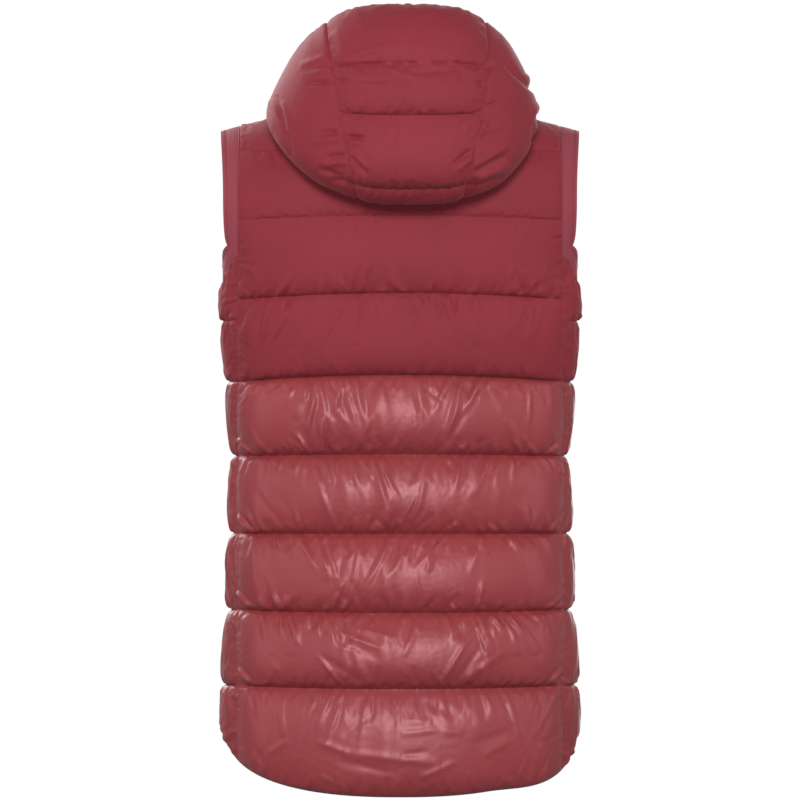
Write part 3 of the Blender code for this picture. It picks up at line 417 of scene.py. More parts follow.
def quilted_panel(name, surface, across, rows, turn, height, ease, creases=(), metres=1.0,
                  sag=0.85, seam_side=None, puckers=0.0024, crowding=None, farthest=0.016,
                  channel=0.088, *, seed):
    """One padded panel. Its channels start at their height plus gathers, the simulation fills
    them, and the finished grid is made twice as fine, settles by the power sag away from its
    upright seams, and gets the finest puckers and creases. across · metres is the distance
    along a stitch line, seam_side(across) the distance in metres from an upright seam, and
    crowding(across) how strong the finest puckers are there."""
    def line_of(row):
        """The stitch line nearest to a row, counted from the panel's first."""
        return np.round(row - rows[0]).astype(int)

    puckers = np.broadcast_to(puckers, line_of(rows[-1]) + 1)
    columns, lines = np.meshgrid(across, rows)
    base = surface(columns, lines)
    out = outward(surface, columns, lines, turn)
    held = stitched(lines)
    held[[0, -1]] = held[:, [0, -1]] = 1
    wide = gathers(columns * metres, lines, *WIDE_PLEATS, seed, channel)
    lift = puckers[line_of(lines)] * wide * (1 - held)
    start = base + out * (height(columns, lines) + lift)[..., None]
    filled = fill_with_down(start, held, ease(columns, lines), turn < 0, farthest)
    outer, base, out = halve_steps(filled), halve_steps(base), unit(halve_steps(out))
    fine_across = np.linspace(across[0], across[-1], outer.shape[1])
    fine_rows = np.linspace(rows[0], rows[-1], outer.shape[0])
    power = np.full(len(fine_across), sag)
    if seam_side is not None:
        power = 1 + (sag - 1) * smooth(seam_side(fine_across) / SEAM_WIDTH)
    outer = base + settled(outer - base, fine_rows, power)
    columns, lines = np.meshgrid(fine_across, fine_rows)
    edge = np.minimum(lines - rows[0], rows[-1] - lines) > 1e-6
    edge[:, [0, -1]] = False
    fine = gathers(columns * metres, lines, *FINE_PLEATS, seed + 100, channel)
    if crowding is not None:
        fine = fine * crowding(columns)
    lift = puckers[line_of(lines)] * FINE_SHARE * fine * (1 - stitched(lines))
    lift = lift + creased(base, creases)
    if seam_side is not None:
        heights = base[..., 2] + OTHER_SEAM * (columns > np.mean(across))
        away = np.minimum(seam_side(columns) / channel, 0.4)
        lift += SEAM_PUCKER * gathers(heights, away, *SEAM_PLEATS, seed + 200, channel)
    lift *= edge
    return closed_wall(name, outer + out * lift[..., None], base, out, turn)


def start_material(name):
    """A new material with its node tree and its shader."""
    material = bpy.data.materials.new(name)
    material.use_nodes = True
    tree = material.node_tree
    return material, tree, tree.nodes["Principled BSDF"]


def set_sockets(tree, node, values):
    """Each named socket of a node gets a value, or is fed by the output that is given."""
    for name, value in values.items():
        if isinstance(value, bpy.types.NodeSocket):
            tree.links.new(value, node.inputs[name])
        else:
            node.inputs[name].default_value = value
    return node


def add_node(tree, kind, values):
    """A new node of a kind, with its sockets set."""
    return set_sockets(tree, tree.nodes.new(kind), values)


THREADS = 157.0             # the weave's scale: 2π / (20 · 157) metres, 2 mm, from band to band


def cloth_material(name, colour, roughness, specular, sheen, crinkle, tint=(1.0, 0.5, 0.54)):
    """Woven nylon: thread-fine bands across and along the cloth, soft crinkles, and colour
    that drifts a few percent over a hand's width."""
    material, tree, shader = start_material(name)
    uv = tree.nodes.new("ShaderNodeUVMap")
    uv.uv_map = "cloth"
    place = tree.nodes.new("ShaderNodeTexCoord").outputs["Object"]

    drift = add_node(tree, "ShaderNodeTexNoise", {"Scale": 9.0, "Detail": 3.0, "Vector": place})
    ramp = add_node(tree, "ShaderNodeValToRGB", {"Fac": drift.outputs["Fac"]})
    for end, at, share in zip(ramp.color_ramp.elements, (0.3, 0.7), (0.93, 1.06)):
        end.position, end.color = at, (*[c * share for c in colour], 1.0)
    gloss = add_node(tree, "ShaderNodeMapRange", {
        "To Min": roughness - 0.04, "To Max": roughness + 0.05, "Value": drift.outputs["Fac"]})

    bands = {}
    for socket, direction in enumerate(("X", "Y")):
        band = add_node(tree, "ShaderNodeTexWave", {
            "Scale": THREADS, "Distortion": 0.0, "Vector": uv.outputs["UV"]})
        band.wave_type, band.bands_direction, band.wave_profile = "BANDS", direction, "SIN"
        bands[socket] = band.outputs["Fac"]
    weave = add_node(tree, "ShaderNodeMath", bands)
    weave.operation = "MULTIPLY"
    threads = add_node(tree, "ShaderNodeBump", {
        "Strength": 0.25, "Distance": 0.00006, "Height": weave.outputs["Value"]})
    crumple = add_node(tree, "ShaderNodeTexNoise", {
        "Scale": 70.0, "Detail": 4.0, "Roughness": 0.55, "Vector": place})
    crumpled = add_node(tree, "ShaderNodeBump", {
        "Strength": 1.0, "Distance": crinkle, "Height": crumple.outputs["Fac"],
        "Normal": threads.outputs["Normal"]})
    set_sockets(tree, shader, {
        "Base Color": ramp.outputs["Color"], "Roughness": gloss.outputs["Result"],
        "Specular IOR Level": specular, "Specular Tint": (*tint, 1.0), "Sheen Weight": sheen,
        "Sheen Roughness": 0.3, "Sheen Tint": (1.0, 0.74, 0.78, 1.0),
        "Normal": crumpled.outputs["Normal"]})
    return material


# Each cloth with the name of a slot beside it.
MATT = (cloth_material("matt_nylon", (0.255, 0.0315, 0.043), 0.70, 0.35, 0.14, 0.0004),
        "matt_shell")
SATIN = (cloth_material("satin_nylon", (0.256, 0.038, 0.043), 0.40, 0.55, 0.06, 0.0003,
                        tint=(1.0, 0.62, 0.66)), "satin_shell")

STITCH_PITCH, STITCH_LENGTH, THREAD_RADIUS = 0.0036, 0.0027, 0.00032
stitches_sewn = []


def tube_faces(rings, count):
    """Quads between closed rings of points, and from the last ring on to the first."""
    index = np.arange(rings * count).reshape(rings, count)
    on, up = np.roll(index, -1, axis=1), np.roll(index, -1, axis=0)
    return np.stack([index, on, np.roll(up, -1, axis=1), up], axis=-1).reshape(-1, 4)


def add_rods(heap, rings, flip=False):
    """Square rods, one for each row of rings of four points, put on a heap of points and
    faces: the sides of each, and its two ends."""
    count = rings.shape[1]
    ends = [[3, 2, 1, 0], np.arange(4 * count - 4, 4 * count)]
    one = np.concatenate([tube_faces(count, 4)[:4 * count - 4], ends])
    first = sum(len(points) for points, _ in heap) + np.arange(len(rings)) * 4 * count
    faces = (one + first[:, None, None]).reshape(-1, 4)
    heap.append((rings.reshape(-1, 3), faces[:, ::-1] if flip else faces))


def read_along(at, run, *lists):
    """What each list of points or directions says at places along a line, straight between."""
    return [np.stack([np.interp(at, run, values[:, i]) for i in range(3)], axis=-1)
            for values in lists]


def stitch_along(points, out):
    """A row of machine stitches: every pitch along the line, three square rings of thread, its
    ends narrow and sunk into the cloth and its middle lifted."""
    run = np.linalg.norm(np.diff(points, axis=0), axis=1)
    run = np.concatenate([[0], np.cumsum(run)])
    at = np.arange(STITCH_PITCH, run[-1] - STITCH_PITCH, STITCH_PITCH)
    at = at[:, None] + STITCH_LENGTH * np.array((-0.5, 0, 0.5))
    place, lift = read_along(at, run, points, out)
    way = unit(place[:, 2:] - place[:, :1])
    across = np.cross(unit(lift), way)
    radius = THREAD_RADIUS * np.array((0.5, 1.0, 0.5))[None, :, None, None]
    middle = place + unit(lift) * THREAD_RADIUS * np.array((-0.4, 1.0, -0.4))[None, :, None]
    turn = np.arange(4) * np.pi / 2
    add_rods(stitches_sewn, middle[:, :, None] + radius * (
        across[:, :, None] * np.cos(turn)[:, None]
        + unit(lift)[:, :, None] * np.sin(turn)[:, None]))


def stitch_rows(surface, across, rows, turn):
    """Stitches along a panel's own stitch lines, at the height where its cloth is held."""
    for row in rows:
        line_rows = np.full(len(across), float(row))
        normals = outward(surface, across, line_rows, turn)
        stitch_along(surface(across, line_rows) + normals * SEAM_RISE, normals)


def fixed_on(piece, material, node=None):
    """A finished piece: its material, the body it moves with and the solid it stands for."""
    piece.data.materials.append(material)
    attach(piece, "vest")
    if node is not None:
        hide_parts(node)


def sewn_on(piece, node, cloth, slot):
    """The same for a padded piece, filled with down."""
    fixed_on(piece, cloth, node)


SKIRT_PUFFS = (0.0125, 0.0138, 0.0140, 0.0140, 0.0140)
YOKE_PUFFS = (0.0105, 0.0055, 0.0036, 0.0022)
BODY_PUFFS = SKIRT_PUFFS + YOKE_PUFFS
FAINT_LINE, FAINT_LINE_LIFT = 7, 0.0038     # this stitch line is drawn in less than the others
SEAM_SHARE, SEAM_REACH = 0.28, 0.030    # how full a channel is where an upright seam crosses it
MATT_EASE, SATIN_EASE = (0.004, 0.008, 0.14), (0.006, 0.012, 0.14)


def channels(row, puffs, faint_line, faint_lift):
    """Each channel's puff, and at the faint line a lift that falls straight to 0 beside it."""
    return channel_puff(row, puffs) + faint_lift * np.clip(1 - np.abs(row - faint_line), 0, 1)


def from_side_seam(x):
    """Distance in from the nearer upright seam: seam x − |x|."""
    return SEAM_X - np.abs(x)


def body_height(x, row):
    """The channels' start, flattened towards the upright seams."""
    full = channels(row, BODY_PUFFS, FAINT_LINE, FAINT_LINE_LIFT)
    return SEAM_RISE + full * pinch(from_side_seam(x), SEAM_REACH, SEAM_SHARE)


def eased(least, more, width):
    """How much longer the cloth is: least + more · e^−(rows from a stitch line / width)²."""
    def ease(across, row):
        return least + more * np.exp(-((row - np.round(row)) / width) ** 2)
    return ease


def rows_between(first, last, per_channel):
    """Even rows from one line to another."""
    return np.linspace(first, last, (last - first) * per_channel + 1)


SKIRT_CREASES = np.array([
    (86, -288, 99, -340, 2.6, -1.6), (91, -290, 103, -328, 3.5, 0.8),
    (65, -293, 72, -323, 2.6, -1.2), (59, -293, 66, -319, 3, 0.8),
    (110, -287, 121, -304, 2.4, -1), (127, -288, 142, -304, 2.6, -1.1),
    (145, -287, 161, -297, 2.6, -0.9), (50, -288, 56, -304, 2.2, -0.9),
    (-70, -296, -44, -356, 2.8, -1.7), (-77, -299, -52, -354, 4, 0.9),
    (-26, -290, -47, -308, 2.6, 1.1), (-125, -292, -133, -306, 2.2, -0.9),
    (-143, -294, -152, -308, 2.4, -1), (25, -345, 13, -364, 3.4, 2.2),
    (2, -351, 13, -363, 3, -1.6), (37, -350, 24, -358, 3, 1.2), (-67, -363, -95, -346, 4, 1.2),
    (-113, -356, -113, -364, 2.2, -1.2), (81, -370, 75, -398, 2.8, -1.6),
    (87, -372, 81, -394, 3.2, 0.9), (47, -371, 50, -396, 2.6, -1.2), (152, -404, 125, -444, 4, 1),
    (138, -394, 109, -439, 4.5, 0.9), (165, -416, 143, -446, 3.2, 0.9),
    (26, -436, 12, -450, 3, 2), (1, -439, 11, -450, 3, -1.4), (-28, -387, -16, -442, 3, -1.2),
    (-36, -431, -18, -450, 2.8, 1.2), (-62, -437, -45, -450, 2.8, 1.2),
    (-25, -425, -11, -448, 2.6, 1), (-46, -370, -57, -383, 2.6, 0.9),
    (-108, -370, -101, -385, 2.4, -0.8), (81, -477, 78, -494, 3, -1.6),
    (59, -474, 66, -501, 3, 1), (46, -466, 54, -483, 2.6, -1.2), (51, -505, 40, -537, 3.6, 1.3),
    (69, -515, 46, -538, 4, 1.2), (-34, -466, -30, -496, 2.8, -1.2),
    (-41, -521, -28, -538, 2.8, 1.2), (-65, -519, -45, -539, 3.4, 1.1),
    (110, -460, 117, -477, 2.4, -0.9), (-77, -460, -88, -476, 2.6, 0.9),
    (24, -520, 9, -539, 3.2, 1.3), (66, -561, 19, -581, 3.2, -1.5), (47, -557, 3, -569, 3, -1.2),
    (68, -570, 22, -590, 3.6, 1), (133, -594, 124, -617, 3, -1.1), (85, -588, 40, -617, 4.6, 1.2),
    (-82, -553, -45, -617, 3, -1.5), (-68, -553, -57, -572, 3, 1.1),
    (-96, -560, -58, -620, 4, 1.1), (-113, -581, -62, -620, 4.2, -1.1),
    (-158, -542, -164, -559, 2.4, -1), (31, -543, 22, -557, 2.6, 1.1),
    (-13, -546, -22, -563, 2.8, -0.9), (88, -681, 55, -694, 3.2, -1.6),
    (61, -693, -44, -705, 4.6, -1.5), (67, -702, 0, -716, 4.4, 1.2), (85, -718, 65, -730, 3, -1),
    (153, -686, 142, -711, 3.2, 0.9), (140, -696, 118, -680, 3, -1),
    (125, -631, 124, -675, 3.4, -0.8), (61, -675, 32, -652, 4.2, 0.9),
    (0, -672, -42, -668, 3.2, -1.2), (-41, -668, -67, -672, 3.2, -1),
    (0, -657, -35, -660, 4, -0.9), (-21, -721, -59, -704, 3.2, -1.3), (0, -696, -32, -691, 3, 1),
    (-117, -680, -88, -696, 4, -0.9), (-123, -626, -133, -635, 2.4, -0.9),
    (-22, -636, -61, -653, 5, 0.9), (86, -627, 81, -638, 2.4, -0.9),
    (-77, -685, -123, -667, 5, 0.9),
    # a fold all the way down the middle, left from when the vest lay folded in two
    (21, -282, 16, -362, 9, -1.7), (19, -369, 14, -449, 9, -1.7),
    (18, -457, 12, -537, 9, -1.6), (17, -544, 12, -620, 9, -1.4),
    (16, -628, 14, -722, 10, -1.2),
])
YOKE_CREASES = np.array([
    (177, -133, 173, -154, 2.2, 1.6), (184, -140, 174, -147, 2, -1),
    (189, -154, 176, -148, 2.2, 0.9), (-172, -125, -183, -145, 2.6, 1.3),
    (-163, -134, -178, -154, 2.6, -0.9), (-160, -110, -188, -107, 2.6, 1.4),
    (168, -109, 152, -107, 3, -0.9), (178, -179, 165, -191, 2.2, -1),
    (169, -177, 161, -193, 2.2, 1.1), (-132, -185, -160, -177, 3.2, 1),
    (-172, -194, -187, -189, 2.4, -1), (147, -194, 136, -186, 2.4, 1.1),
    (119, -193, 110, -185, 2.2, 1.1), (77, -193, 65, -185, 2.6, 1.2),
    (53, -193, 37, -186, 2.8, 1), (-6, -193, -13, -186, 2.2, 1), (-77, -194, -86, -187, 2.4, 1),
])
# Where a stitch line meets an upright seam, a fold cuts the corner of the channel above it.
END_FOLDS = np.array([(side * 176, z * 1000 + rise, side * (176 - run), z * 1000 + 3, width, deep)
                      for side in (1, -1) for z in line_height(np.arange(5), SEAM_X)
                      for rise, run, width, deep in ((20, 15, 2.8, -2.6), (26, 22, 3.2, 1.8))])


def spread_out(x):
    """The satin lies calm over the spine and crowds into pleats towards the sides:
    0.55 + 1.25 · smooth(|x| / 0.10)."""
    return 0.55 + 1.25 * smooth(np.abs(x) / 0.10)


back_x = np.linspace(-SEAM_X, SEAM_X, 121)
back_skirt = quilted_panel(
    "back_skirt_cloth", body_surface(BACK), back_x, rows_between(0, 5, 24), -1, body_height,
    eased(*SATIN_EASE), creases=np.concatenate([SKIRT_CREASES, END_FOLDS]),
    seam_side=from_side_seam, puckers=(0.0009, 0.0015, 0.0030, 0.0030, 0.0030, 0.0032),
    crowding=spread_out, seed=11)
back_yoke = quilted_panel(
    "back_yoke_cloth", body_surface(BACK), back_x, rows_between(5, 9, 24), -1, body_height,
    eased(*MATT_EASE), creases=YOKE_CREASES, sag=0.7, seam_side=from_side_seam,
    puckers=(0.0016, 0.0034, 0.0003, 0.0003, 0.0003), seed=12)
sewn_on(back_skirt, "back_skirt", *SATIN)
sewn_on(back_yoke, "back_yoke", *MATT)
QUILTED_ROWS = (1, 2, 3, 4, 6, 8)       # row 5 is the seam between skirt and yoke
stitch_rows(body_surface(BACK), back_x, QUILTED_ROWS, -1)

# ------------------------------------------------------------------ the fronts
# Left and right fronts repeat the back: a matt yoke over a satin skirt, filled with down. Each
# ends beside the zip in a flat edge, and its channels meet the back's at the side panels.
ZIP_EDGE_X = 0.009
ZIP_EDGE_SHARE, ZIP_EDGE_REACH = 0.12, 0.024
FRONT_STEPS = 40
SIDES = ((1, "l"), (-1, "r"))           # the wearer's left lies at positive x


def front_height(x, row):
    """The back's height, times a pinch beside the zip as well."""
    return SEAM_RISE + (body_height(x, row) - SEAM_RISE) * pinch(
        np.abs(x) - ZIP_EDGE_X, ZIP_EDGE_REACH, ZIP_EDGE_SHARE)


turned_over = np.array((-1, 1, -1, 1, 1, 1))    # the hidden faces repeat the back's creases
for side, letter in SIDES:
    front_x = np.sort(side * np.linspace(ZIP_EDGE_X, SEAM_X, FRONT_STEPS + 1))
    for part, first, last, amounts, cloth, puckers, creases in (
            ("skirt", 0, 5, SATIN_EASE, SATIN, 0.0030,
             np.concatenate([SKIRT_CREASES * turned_over, END_FOLDS])),
            ("yoke", 5, 9, MATT_EASE, MATT, 0.0014, YOKE_CREASES * turned_over)):
        node = f"front_{part}_{letter}"
        panel = quilted_panel(
            node + "_cloth", body_surface(FRONT), front_x, rows_between(first, last, 20), 1,
            front_height, eased(*amounts), creases=creases, seam_side=from_side_seam,
            puckers=puckers, seed=20 + side + first)
        sewn_on(panel, node, *cloth)
    stitch_rows(body_surface(FRONT), front_x, QUILTED_ROWS + (FAINT_LINE,), 1)

# ------------------------------------------------------------------ the side panels
# A narrow padded panel under each arm joins back and front. Its skirt shares their stitch
# lines; its yoke has one stitch line of its own and ends at the armhole in a shallow curve.
SIDE_LINE_Z = -0.218
ARMHOLE_BOTTOM_Z, ARMHOLE_CORNER_Z = -0.178, -0.146
SIDE_HALF_WIDTH, SIDE_FILL = 0.050, 0.50
SIDE_PUFFS = SKIRT_PUFFS + (0.009, 0.009)
SHORT_EASE = (0.008, 0.015, 0.16)       # the ease of the narrow panels


def side_point(side, across, z):
    """The body's squared ellipse solved for x: across runs from −1 at the front seam to 1 at
    the back seam, and y is across times the depth there."""
    at_back = across >= 0
    y = across * np.where(at_back, depth(BACK, SEAM_X, z), depth(FRONT, SEAM_X, z))
    reach = np.where(at_back, section("back_depth", z), section("front_depth", z))
    power = section("squareness", z)
    x = section("half_width", z) * (1 - np.abs(y / reach) ** power) ** (1 / power)
    return np.stack(np.broadcast_arrays(side * x, y, z), axis=-1)


def side_hem(side, across):
    """The same hem carried along the side panel: across times the seam's depth stands for the
    depth, and at the wearer's right the drop sets in as smooth((1 + across) / 2)."""
    found = []
    for face in (BACK, FRONT):
        full = section(DEPTH_COLUMN[face], HEM_SIDE_Z)
        drop = hem_drop(across * depth(face, SEAM_X, HEM_SIDE_Z) / full)
        found.append(HEM_SIDE_Z + (HEM_MIDDLE_Z[face] - HEM_SIDE_Z) * drop)
    hang = smooth((1 + across) / 2) if side < 0 else 0
    return np.where(across >= 0, found[0], found[1]) - HEM_RIGHT_DROP * hang


def armhole_seam_z(across):
    """Bottom of the armhole: lowest in the middle, rising as |across|^2.2."""
    return ARMHOLE_BOTTOM_Z + (ARMHOLE_CORNER_Z - ARMHOLE_BOTTOM_Z) * np.abs(across) ** 2.2


def side_surface(side):
    """Row 0 is the hem, 1 to 5 the shared stitch lines, 6 its own line, 7 the armhole."""
    def surface(across, row):
        lines = [side_hem(side, across)] + [line_height(i, SEAM_X) + 0 * across for i in range(5)]
        lines += [SIDE_LINE_Z + 0 * across, armhole_seam_z(across)]
        return side_point(side, across, blend_lines(lines, row))
    return surface


def seam_height(z):
    """What the back and fronts stand at along their upright seams: their channels' puff for a
    height, times the seam's share."""
    lines = [HEM_SIDE_Z - 0.02] + [line_height(i, SEAM_X) for i in range(7)] + [-0.03]
    return SEAM_SHARE * channel_puff(np.interp(z, lines, np.arange(9)), BODY_PUFFS)


def from_side_edge(across):
    """Distance in metres from the side panel's nearer edge: (1 − |across|) · half width."""
    return (1 - np.abs(across)) * SIDE_HALF_WIDTH


def side_height(side):
    """Its own channels inside, which give way to the seam's height along both edges."""
    def height(across, row):
        """own · pinch · (1 − m) + seam · m, with m = 1 − smooth(distance / 0.012)."""
        z = side_surface(side)(across, row)[..., 2]
        edge = from_side_edge(across)
        own = SIDE_FILL * channel_puff(row, SIDE_PUFFS)
        meets = 1 - smooth(edge / 0.012)
        return SEAM_RISE + own * pinch(edge, 0.02, 0) * (1 - meets) + seam_height(z) * meets
    return height


side_across = np.linspace(-1, 1, 33)
for side, letter in SIDES:
    for part, first, last, cloth in (("skirt", 0, 5, SATIN), ("yoke", 5, 7, MATT)):
        node = f"side_{part}_{letter}"
        panel = quilted_panel(
            node + "_cloth", side_surface(side), side_across, rows_between(first, last, 24),
            side, side_height(side), eased(*SHORT_EASE), metres=SIDE_HALF_WIDTH,
            farthest=0.009, seam_side=from_side_edge, seed=30 + side + first)
        sewn_on(panel, node, *cloth)
    stitch_rows(side_surface(side), side_across, (1, 2, 3, 4, 6), side)

# ------------------------------------------------------------------ the armhole bands
# A strip of the matt nylon, folded double and stitched along both its edges, binds each armhole,
# with no down behind it. Its colour is painted paler and pinker than the panels' matt nylon:
# painted sheen for the side light that grazes it.
BAND_WIDTH, BAND_RISE = 0.0225, 0.0014
CORNER_ROW = 6.56           # where the body's seam reaches the corner of the armhole
SMOOTH_SEAM_WAY, SMOOTH_BAND = 6, 60     # rounds of evening at the seam, and over the band


def panel_edge(surface, across, row, turn, step_across, step_row):
    """Along a panel's edge: its points, the unit way on beyond the edge, which is normal ×
    edge turned away from the panel's inside, and the normals."""
    across, row = np.broadcast_arrays(np.asarray(across, float), np.asarray(row, float))
    points = surface(across, row)
    out = outward(surface, across, row, turn)
    edge = (surface(across + step_row, row + step_across)
            - surface(across - step_row, row - step_across))
    beyond = np.cross(out, unit(edge))
    inside = surface(across - step_across, row - step_row) - points
    beyond = beyond * -np.sign((beyond * inside).sum(-1, keepdims=True))
    return points, unit(beyond), out


def evened(ring, rounds):
    """Smooths a closed ring of directions: each becomes ¼ previous + ½ own + ¼ next."""
    for _ in range(rounds):
        ring = unit(ring * 2 + np.roll(ring, 1, 0) + np.roll(ring, -1, 0))
    return ring


# Round the band's section: share of its width, height above the seam, and whether outside.
BAND_SECTION = np.array([
    (0.00, SEAM_RISE), (0.03, 0.0016), (0.07, BAND_RISE), (0.11, BAND_RISE * 0.80),
    (0.15, BAND_RISE * 1.02), (0.40, BAND_RISE * 1.12), (0.66, BAND_RISE * 1.02),
    (0.72, BAND_RISE * 0.76), (0.78, BAND_RISE * 0.98), (0.93, BAND_RISE * 0.9),
    (0.985, 0.0014), (1.00, 0.0002), (0.985, -0.0010), (0.93, -0.0016), (0.50, -0.0024),
    (0.15, -LINING_DEPTH), (0.0, -LINING_DEPTH),
])
# the same matt nylon with its base colour painted lighter and pinker: painted sheen from the
# grazing side light
band_nylon_painted_sheen = cloth_material("band_nylon_painted_sheen", (0.300, 0.058, 0.079), 0.70, 0.35, 0.14, 0.0003)
edge_rows = np.linspace(CORNER_ROW, 9, 76)
under_arm = np.linspace(-1, 1, 52)[1:-1]
for side, letter in SIDES:
    seam_x, step = side * SEAM_X, side * SMALL_STEP
    edges = (
        panel_edge(body_surface(BACK), seam_x, edge_rows, -1, step, 0.0),
        panel_edge(body_surface(FRONT), seam_x, edge_rows[-2::-1], 1, step, 0.0),
        panel_edge(side_surface(side), under_arm, 7.0, side, 0.0, SMALL_STEP),
    )
    seam, beyond, out = (np.concatenate([e[i] for e in edges]) for i in range(3))
    first_way = evened(beyond, SMOOTH_SEAM_WAY)
    beyond, out = evened(beyond, SMOOTH_BAND), evened(out, SMOOTH_BAND)
    out = unit(out - beyond * (out * beyond).sum(1, keepdims=True))
    share, rise = BAND_SECTION.T[:, :, None, None]
    settles = smooth(share / 0.6)
    way = first_way * (1 - settles) + beyond * settles
    length = np.cumsum(np.linalg.norm(np.diff(seam, axis=0, prepend=seam[:1]), axis=1))
    ripple = gathers(length, 0.05 + 0 * length, 0.012, 0.03, 40 + side)
    lift = rise * (1 + 0.16 * ripple[None, :, None] * (rise > 0))
    rings = seam + way * share * BAND_WIDTH + out * lift
    uv = np.stack(np.broadcast_arrays(length[None], share[..., 0] * BAND_WIDTH), axis=-1)
    faces = tube_faces(len(rings), len(seam))
    band = make_mesh("armhole_band_cloth_" + letter, rings.reshape(-1, 3),
                     faces if side > 0 else faces[:, ::-1], uv=uv.reshape(-1, 2))
    fixed_on(band, band_nylon_painted_sheen, "armhole_band_" + letter)
    for groove in (3, 8):
        closed = np.concatenate([rings[groove], rings[groove, :1]])
        stitch_along(closed, np.concatenate([out, out[:1]]))

# ------------------------------------------------------------------ the collar
# A short stand collar of matt nylon, quilted in two channels, sewn into the neck and open at
# the zip. The hood hides most of it.
COLLAR_TOP_HALF_WIDTH = 0.073
COLLAR_TOP_REACH = {BACK: 0.050, FRONT: 0.096}
COLLAR_TOP_Z = {BACK: 0.092, FRONT: 0.046}
SEAM_GAP = 0.0004
COLLAR_PUFFS = (0.0022, 0.0045)


def neck_point(turn):
    """The neck seam: turn is 0 at the middle of the back and π at the middle of the front,
    x = half width · sin(turn), and the point lies on the body's top edge there."""
    x = NECK_HALF_WIDTH * np.sin(turn)
    back, front = (shell(face, x, top_climb(face, x)) for face in (BACK, FRONT))
    return np.where((np.cos(turn) >= 0)[..., None], back, front)


def neck_seam(turn):
    """Points of the neck seam, the way out of the cloth there and the way into the opening."""
    x = NECK_HALF_WIDTH * np.sin(turn)
    found = []
    for face in (BACK, FRONT):
        top = top_climb(face, x)
        up = shell(face, x, top) - shell(face, x, top - SMALL_STEP)
        along = shell(face, x + SMALL_STEP, top) - shell(face, x - SMALL_STEP, top)
        found.append(unit(np.cross(along, up)) * -face)
    out = np.where((np.cos(turn) >= 0)[..., None], *found)
    tangent = unit(neck_point(turn + SMALL_STEP) - neck_point(turn - SMALL_STEP))
    return neck_point(turn), out, -unit(np.cross(out, tangent))


def collar_surface(turn, row):
    """Straight from the neck seam, at row 0, to the narrower top edge, at row 2."""
    seam, _, inward = neck_seam(turn)
    low = seam + inward * SEAM_GAP * 1.5
    lean = np.cos(turn)
    reach = np.where(lean >= 0, COLLAR_TOP_REACH[BACK], COLLAR_TOP_REACH[FRONT])
    middle = (COLLAR_TOP_Z[BACK] + COLLAR_TOP_Z[FRONT]) / 2
    swing = (COLLAR_TOP_Z[BACK] - COLLAR_TOP_Z[FRONT]) / 2
    narrower = (NECK_HALF_WIDTH - COLLAR_TOP_HALF_WIDTH) / (NECK_HALF_WIDTH - ZIP_EDGE_X)
    x = low[..., 0] - np.sign(turn) * narrower * np.maximum(np.abs(low[..., 0]) - ZIP_EDGE_X, 0)
    high = np.stack([x, reach * lean, middle + swing * lean], axis=-1)
    return low + (high - low) * (row / 2)[..., None]


def collar_height(turn, row):
    """Two channels that flatten beside the zip: puff · pinch(distance from the zip)."""
    ends = (np.pi - np.abs(turn)) * NECK_REACH[FRONT] - ZIP_EDGE_X
    return SEAM_RISE + channel_puff(row, COLLAR_PUFFS) * pinch(ends, 0.016, 0.15)


collar_end = math.pi - math.asin(ZIP_EDGE_X / NECK_HALF_WIDTH)
collar_turns = np.linspace(-collar_end, collar_end, 161)
collar = quilted_panel(
    "collar_cloth", collar_surface, collar_turns, np.linspace(0.012, 2, 33), -1,
    collar_height, eased(0.02, 0, 1), sag=0.9, metres=0.08, puckers=0.0006, farthest=0.004,
    seed=50)
sewn_on(collar, "collar", *MATT)
stitch_rows(collar_surface, collar_turns, (1,), -1)

# ------------------------------------------------------------------ the hood
# The hood hangs open down the back. A shaped panel runs over its middle between two sides,
# quilted like the body; a base band joins it to the neck and a narrow band edges its brim.
HOOD_COLUMNS = ("along", "half_width", "side_y", "side_z", "middle_y", "middle_z",
                "corner_x", "corner_y", "corner_z")
HOOD_STATIONS = np.array([
    (0.000, 0.0840, 0.000, 0.0260, 0.0680, 0.0290, 0.0480, -0.0800, -0.0130),
    (0.096, 0.1080, 0.012, 0.0300, 0.1080, 0.0290, 0.0540, -0.0840, -0.0050),
    (0.264, 0.1270, 0.034, 0.0280, 0.1370, -0.0430, 0.0600, -0.0870, 0.0040),
    (0.375, 0.1370, 0.052, 0.0200, 0.1640, -0.0850, 0.0630, -0.0885, 0.0100),
    (0.452, 0.1390, 0.056, 0.0220, 0.1930, -0.0700, 0.0650, -0.0895, 0.0150),
    (0.614, 0.1340, 0.047, 0.0320, 0.2000, 0.0050, 0.0670, -0.0905, 0.0230),
    (0.736, 0.1260, 0.034, 0.0430, 0.1880, 0.0600, 0.0680, -0.0910, 0.0290),
    (0.836, 0.1170, 0.022, 0.0520, 0.1680, 0.0990, 0.0690, -0.0915, 0.0330),
    (0.925, 0.1090, 0.010, 0.0590, 0.1380, 0.1245, 0.0690, -0.0920, 0.0370),
    (1.000, 0.1060, 0.002, 0.0620, 0.1080, 0.1165, 0.0690, -0.0920, 0.0400),
])
HOOD_SEAM_COLUMNS = ("along", "seam_x")
HOOD_SEAM = np.array([(0.0, 0.044), (0.26, 0.052), (0.45, 0.0605),
                      (0.614, 0.0765), (0.78, 0.083), (1.0, 0.085)])
HOOD_SIDE_AT = 0.6          # the arch's widest place, as a share of its run
HOOD_MIDDLE_ENDS, HOOD_CORNER_BEGINS, HOOD_FLATNESS = 0.76, 0.5, 1.5
HOOD_SHIFT_X, HOOD_BRIM_SHIFT_X = -0.0115, -0.006    # it hangs towards the wearer's right
HOOD_FRONT_X = 0.046        # where its front corners meet the neck seam
HOOD_SEAM_LIFT, HOOD_SEAM_OUT, HOOD_SETTLED_AT = 0.0055, 0.006, 0.12
HOOD_LINES = (0.20, 0.264, 0.440, 0.614, 0.736, 0.955)   # base seam, four lines, brim seam
HOOD_PUFFS = (0.002, 0.0065, 0.0070, 0.0065, 0.0065)
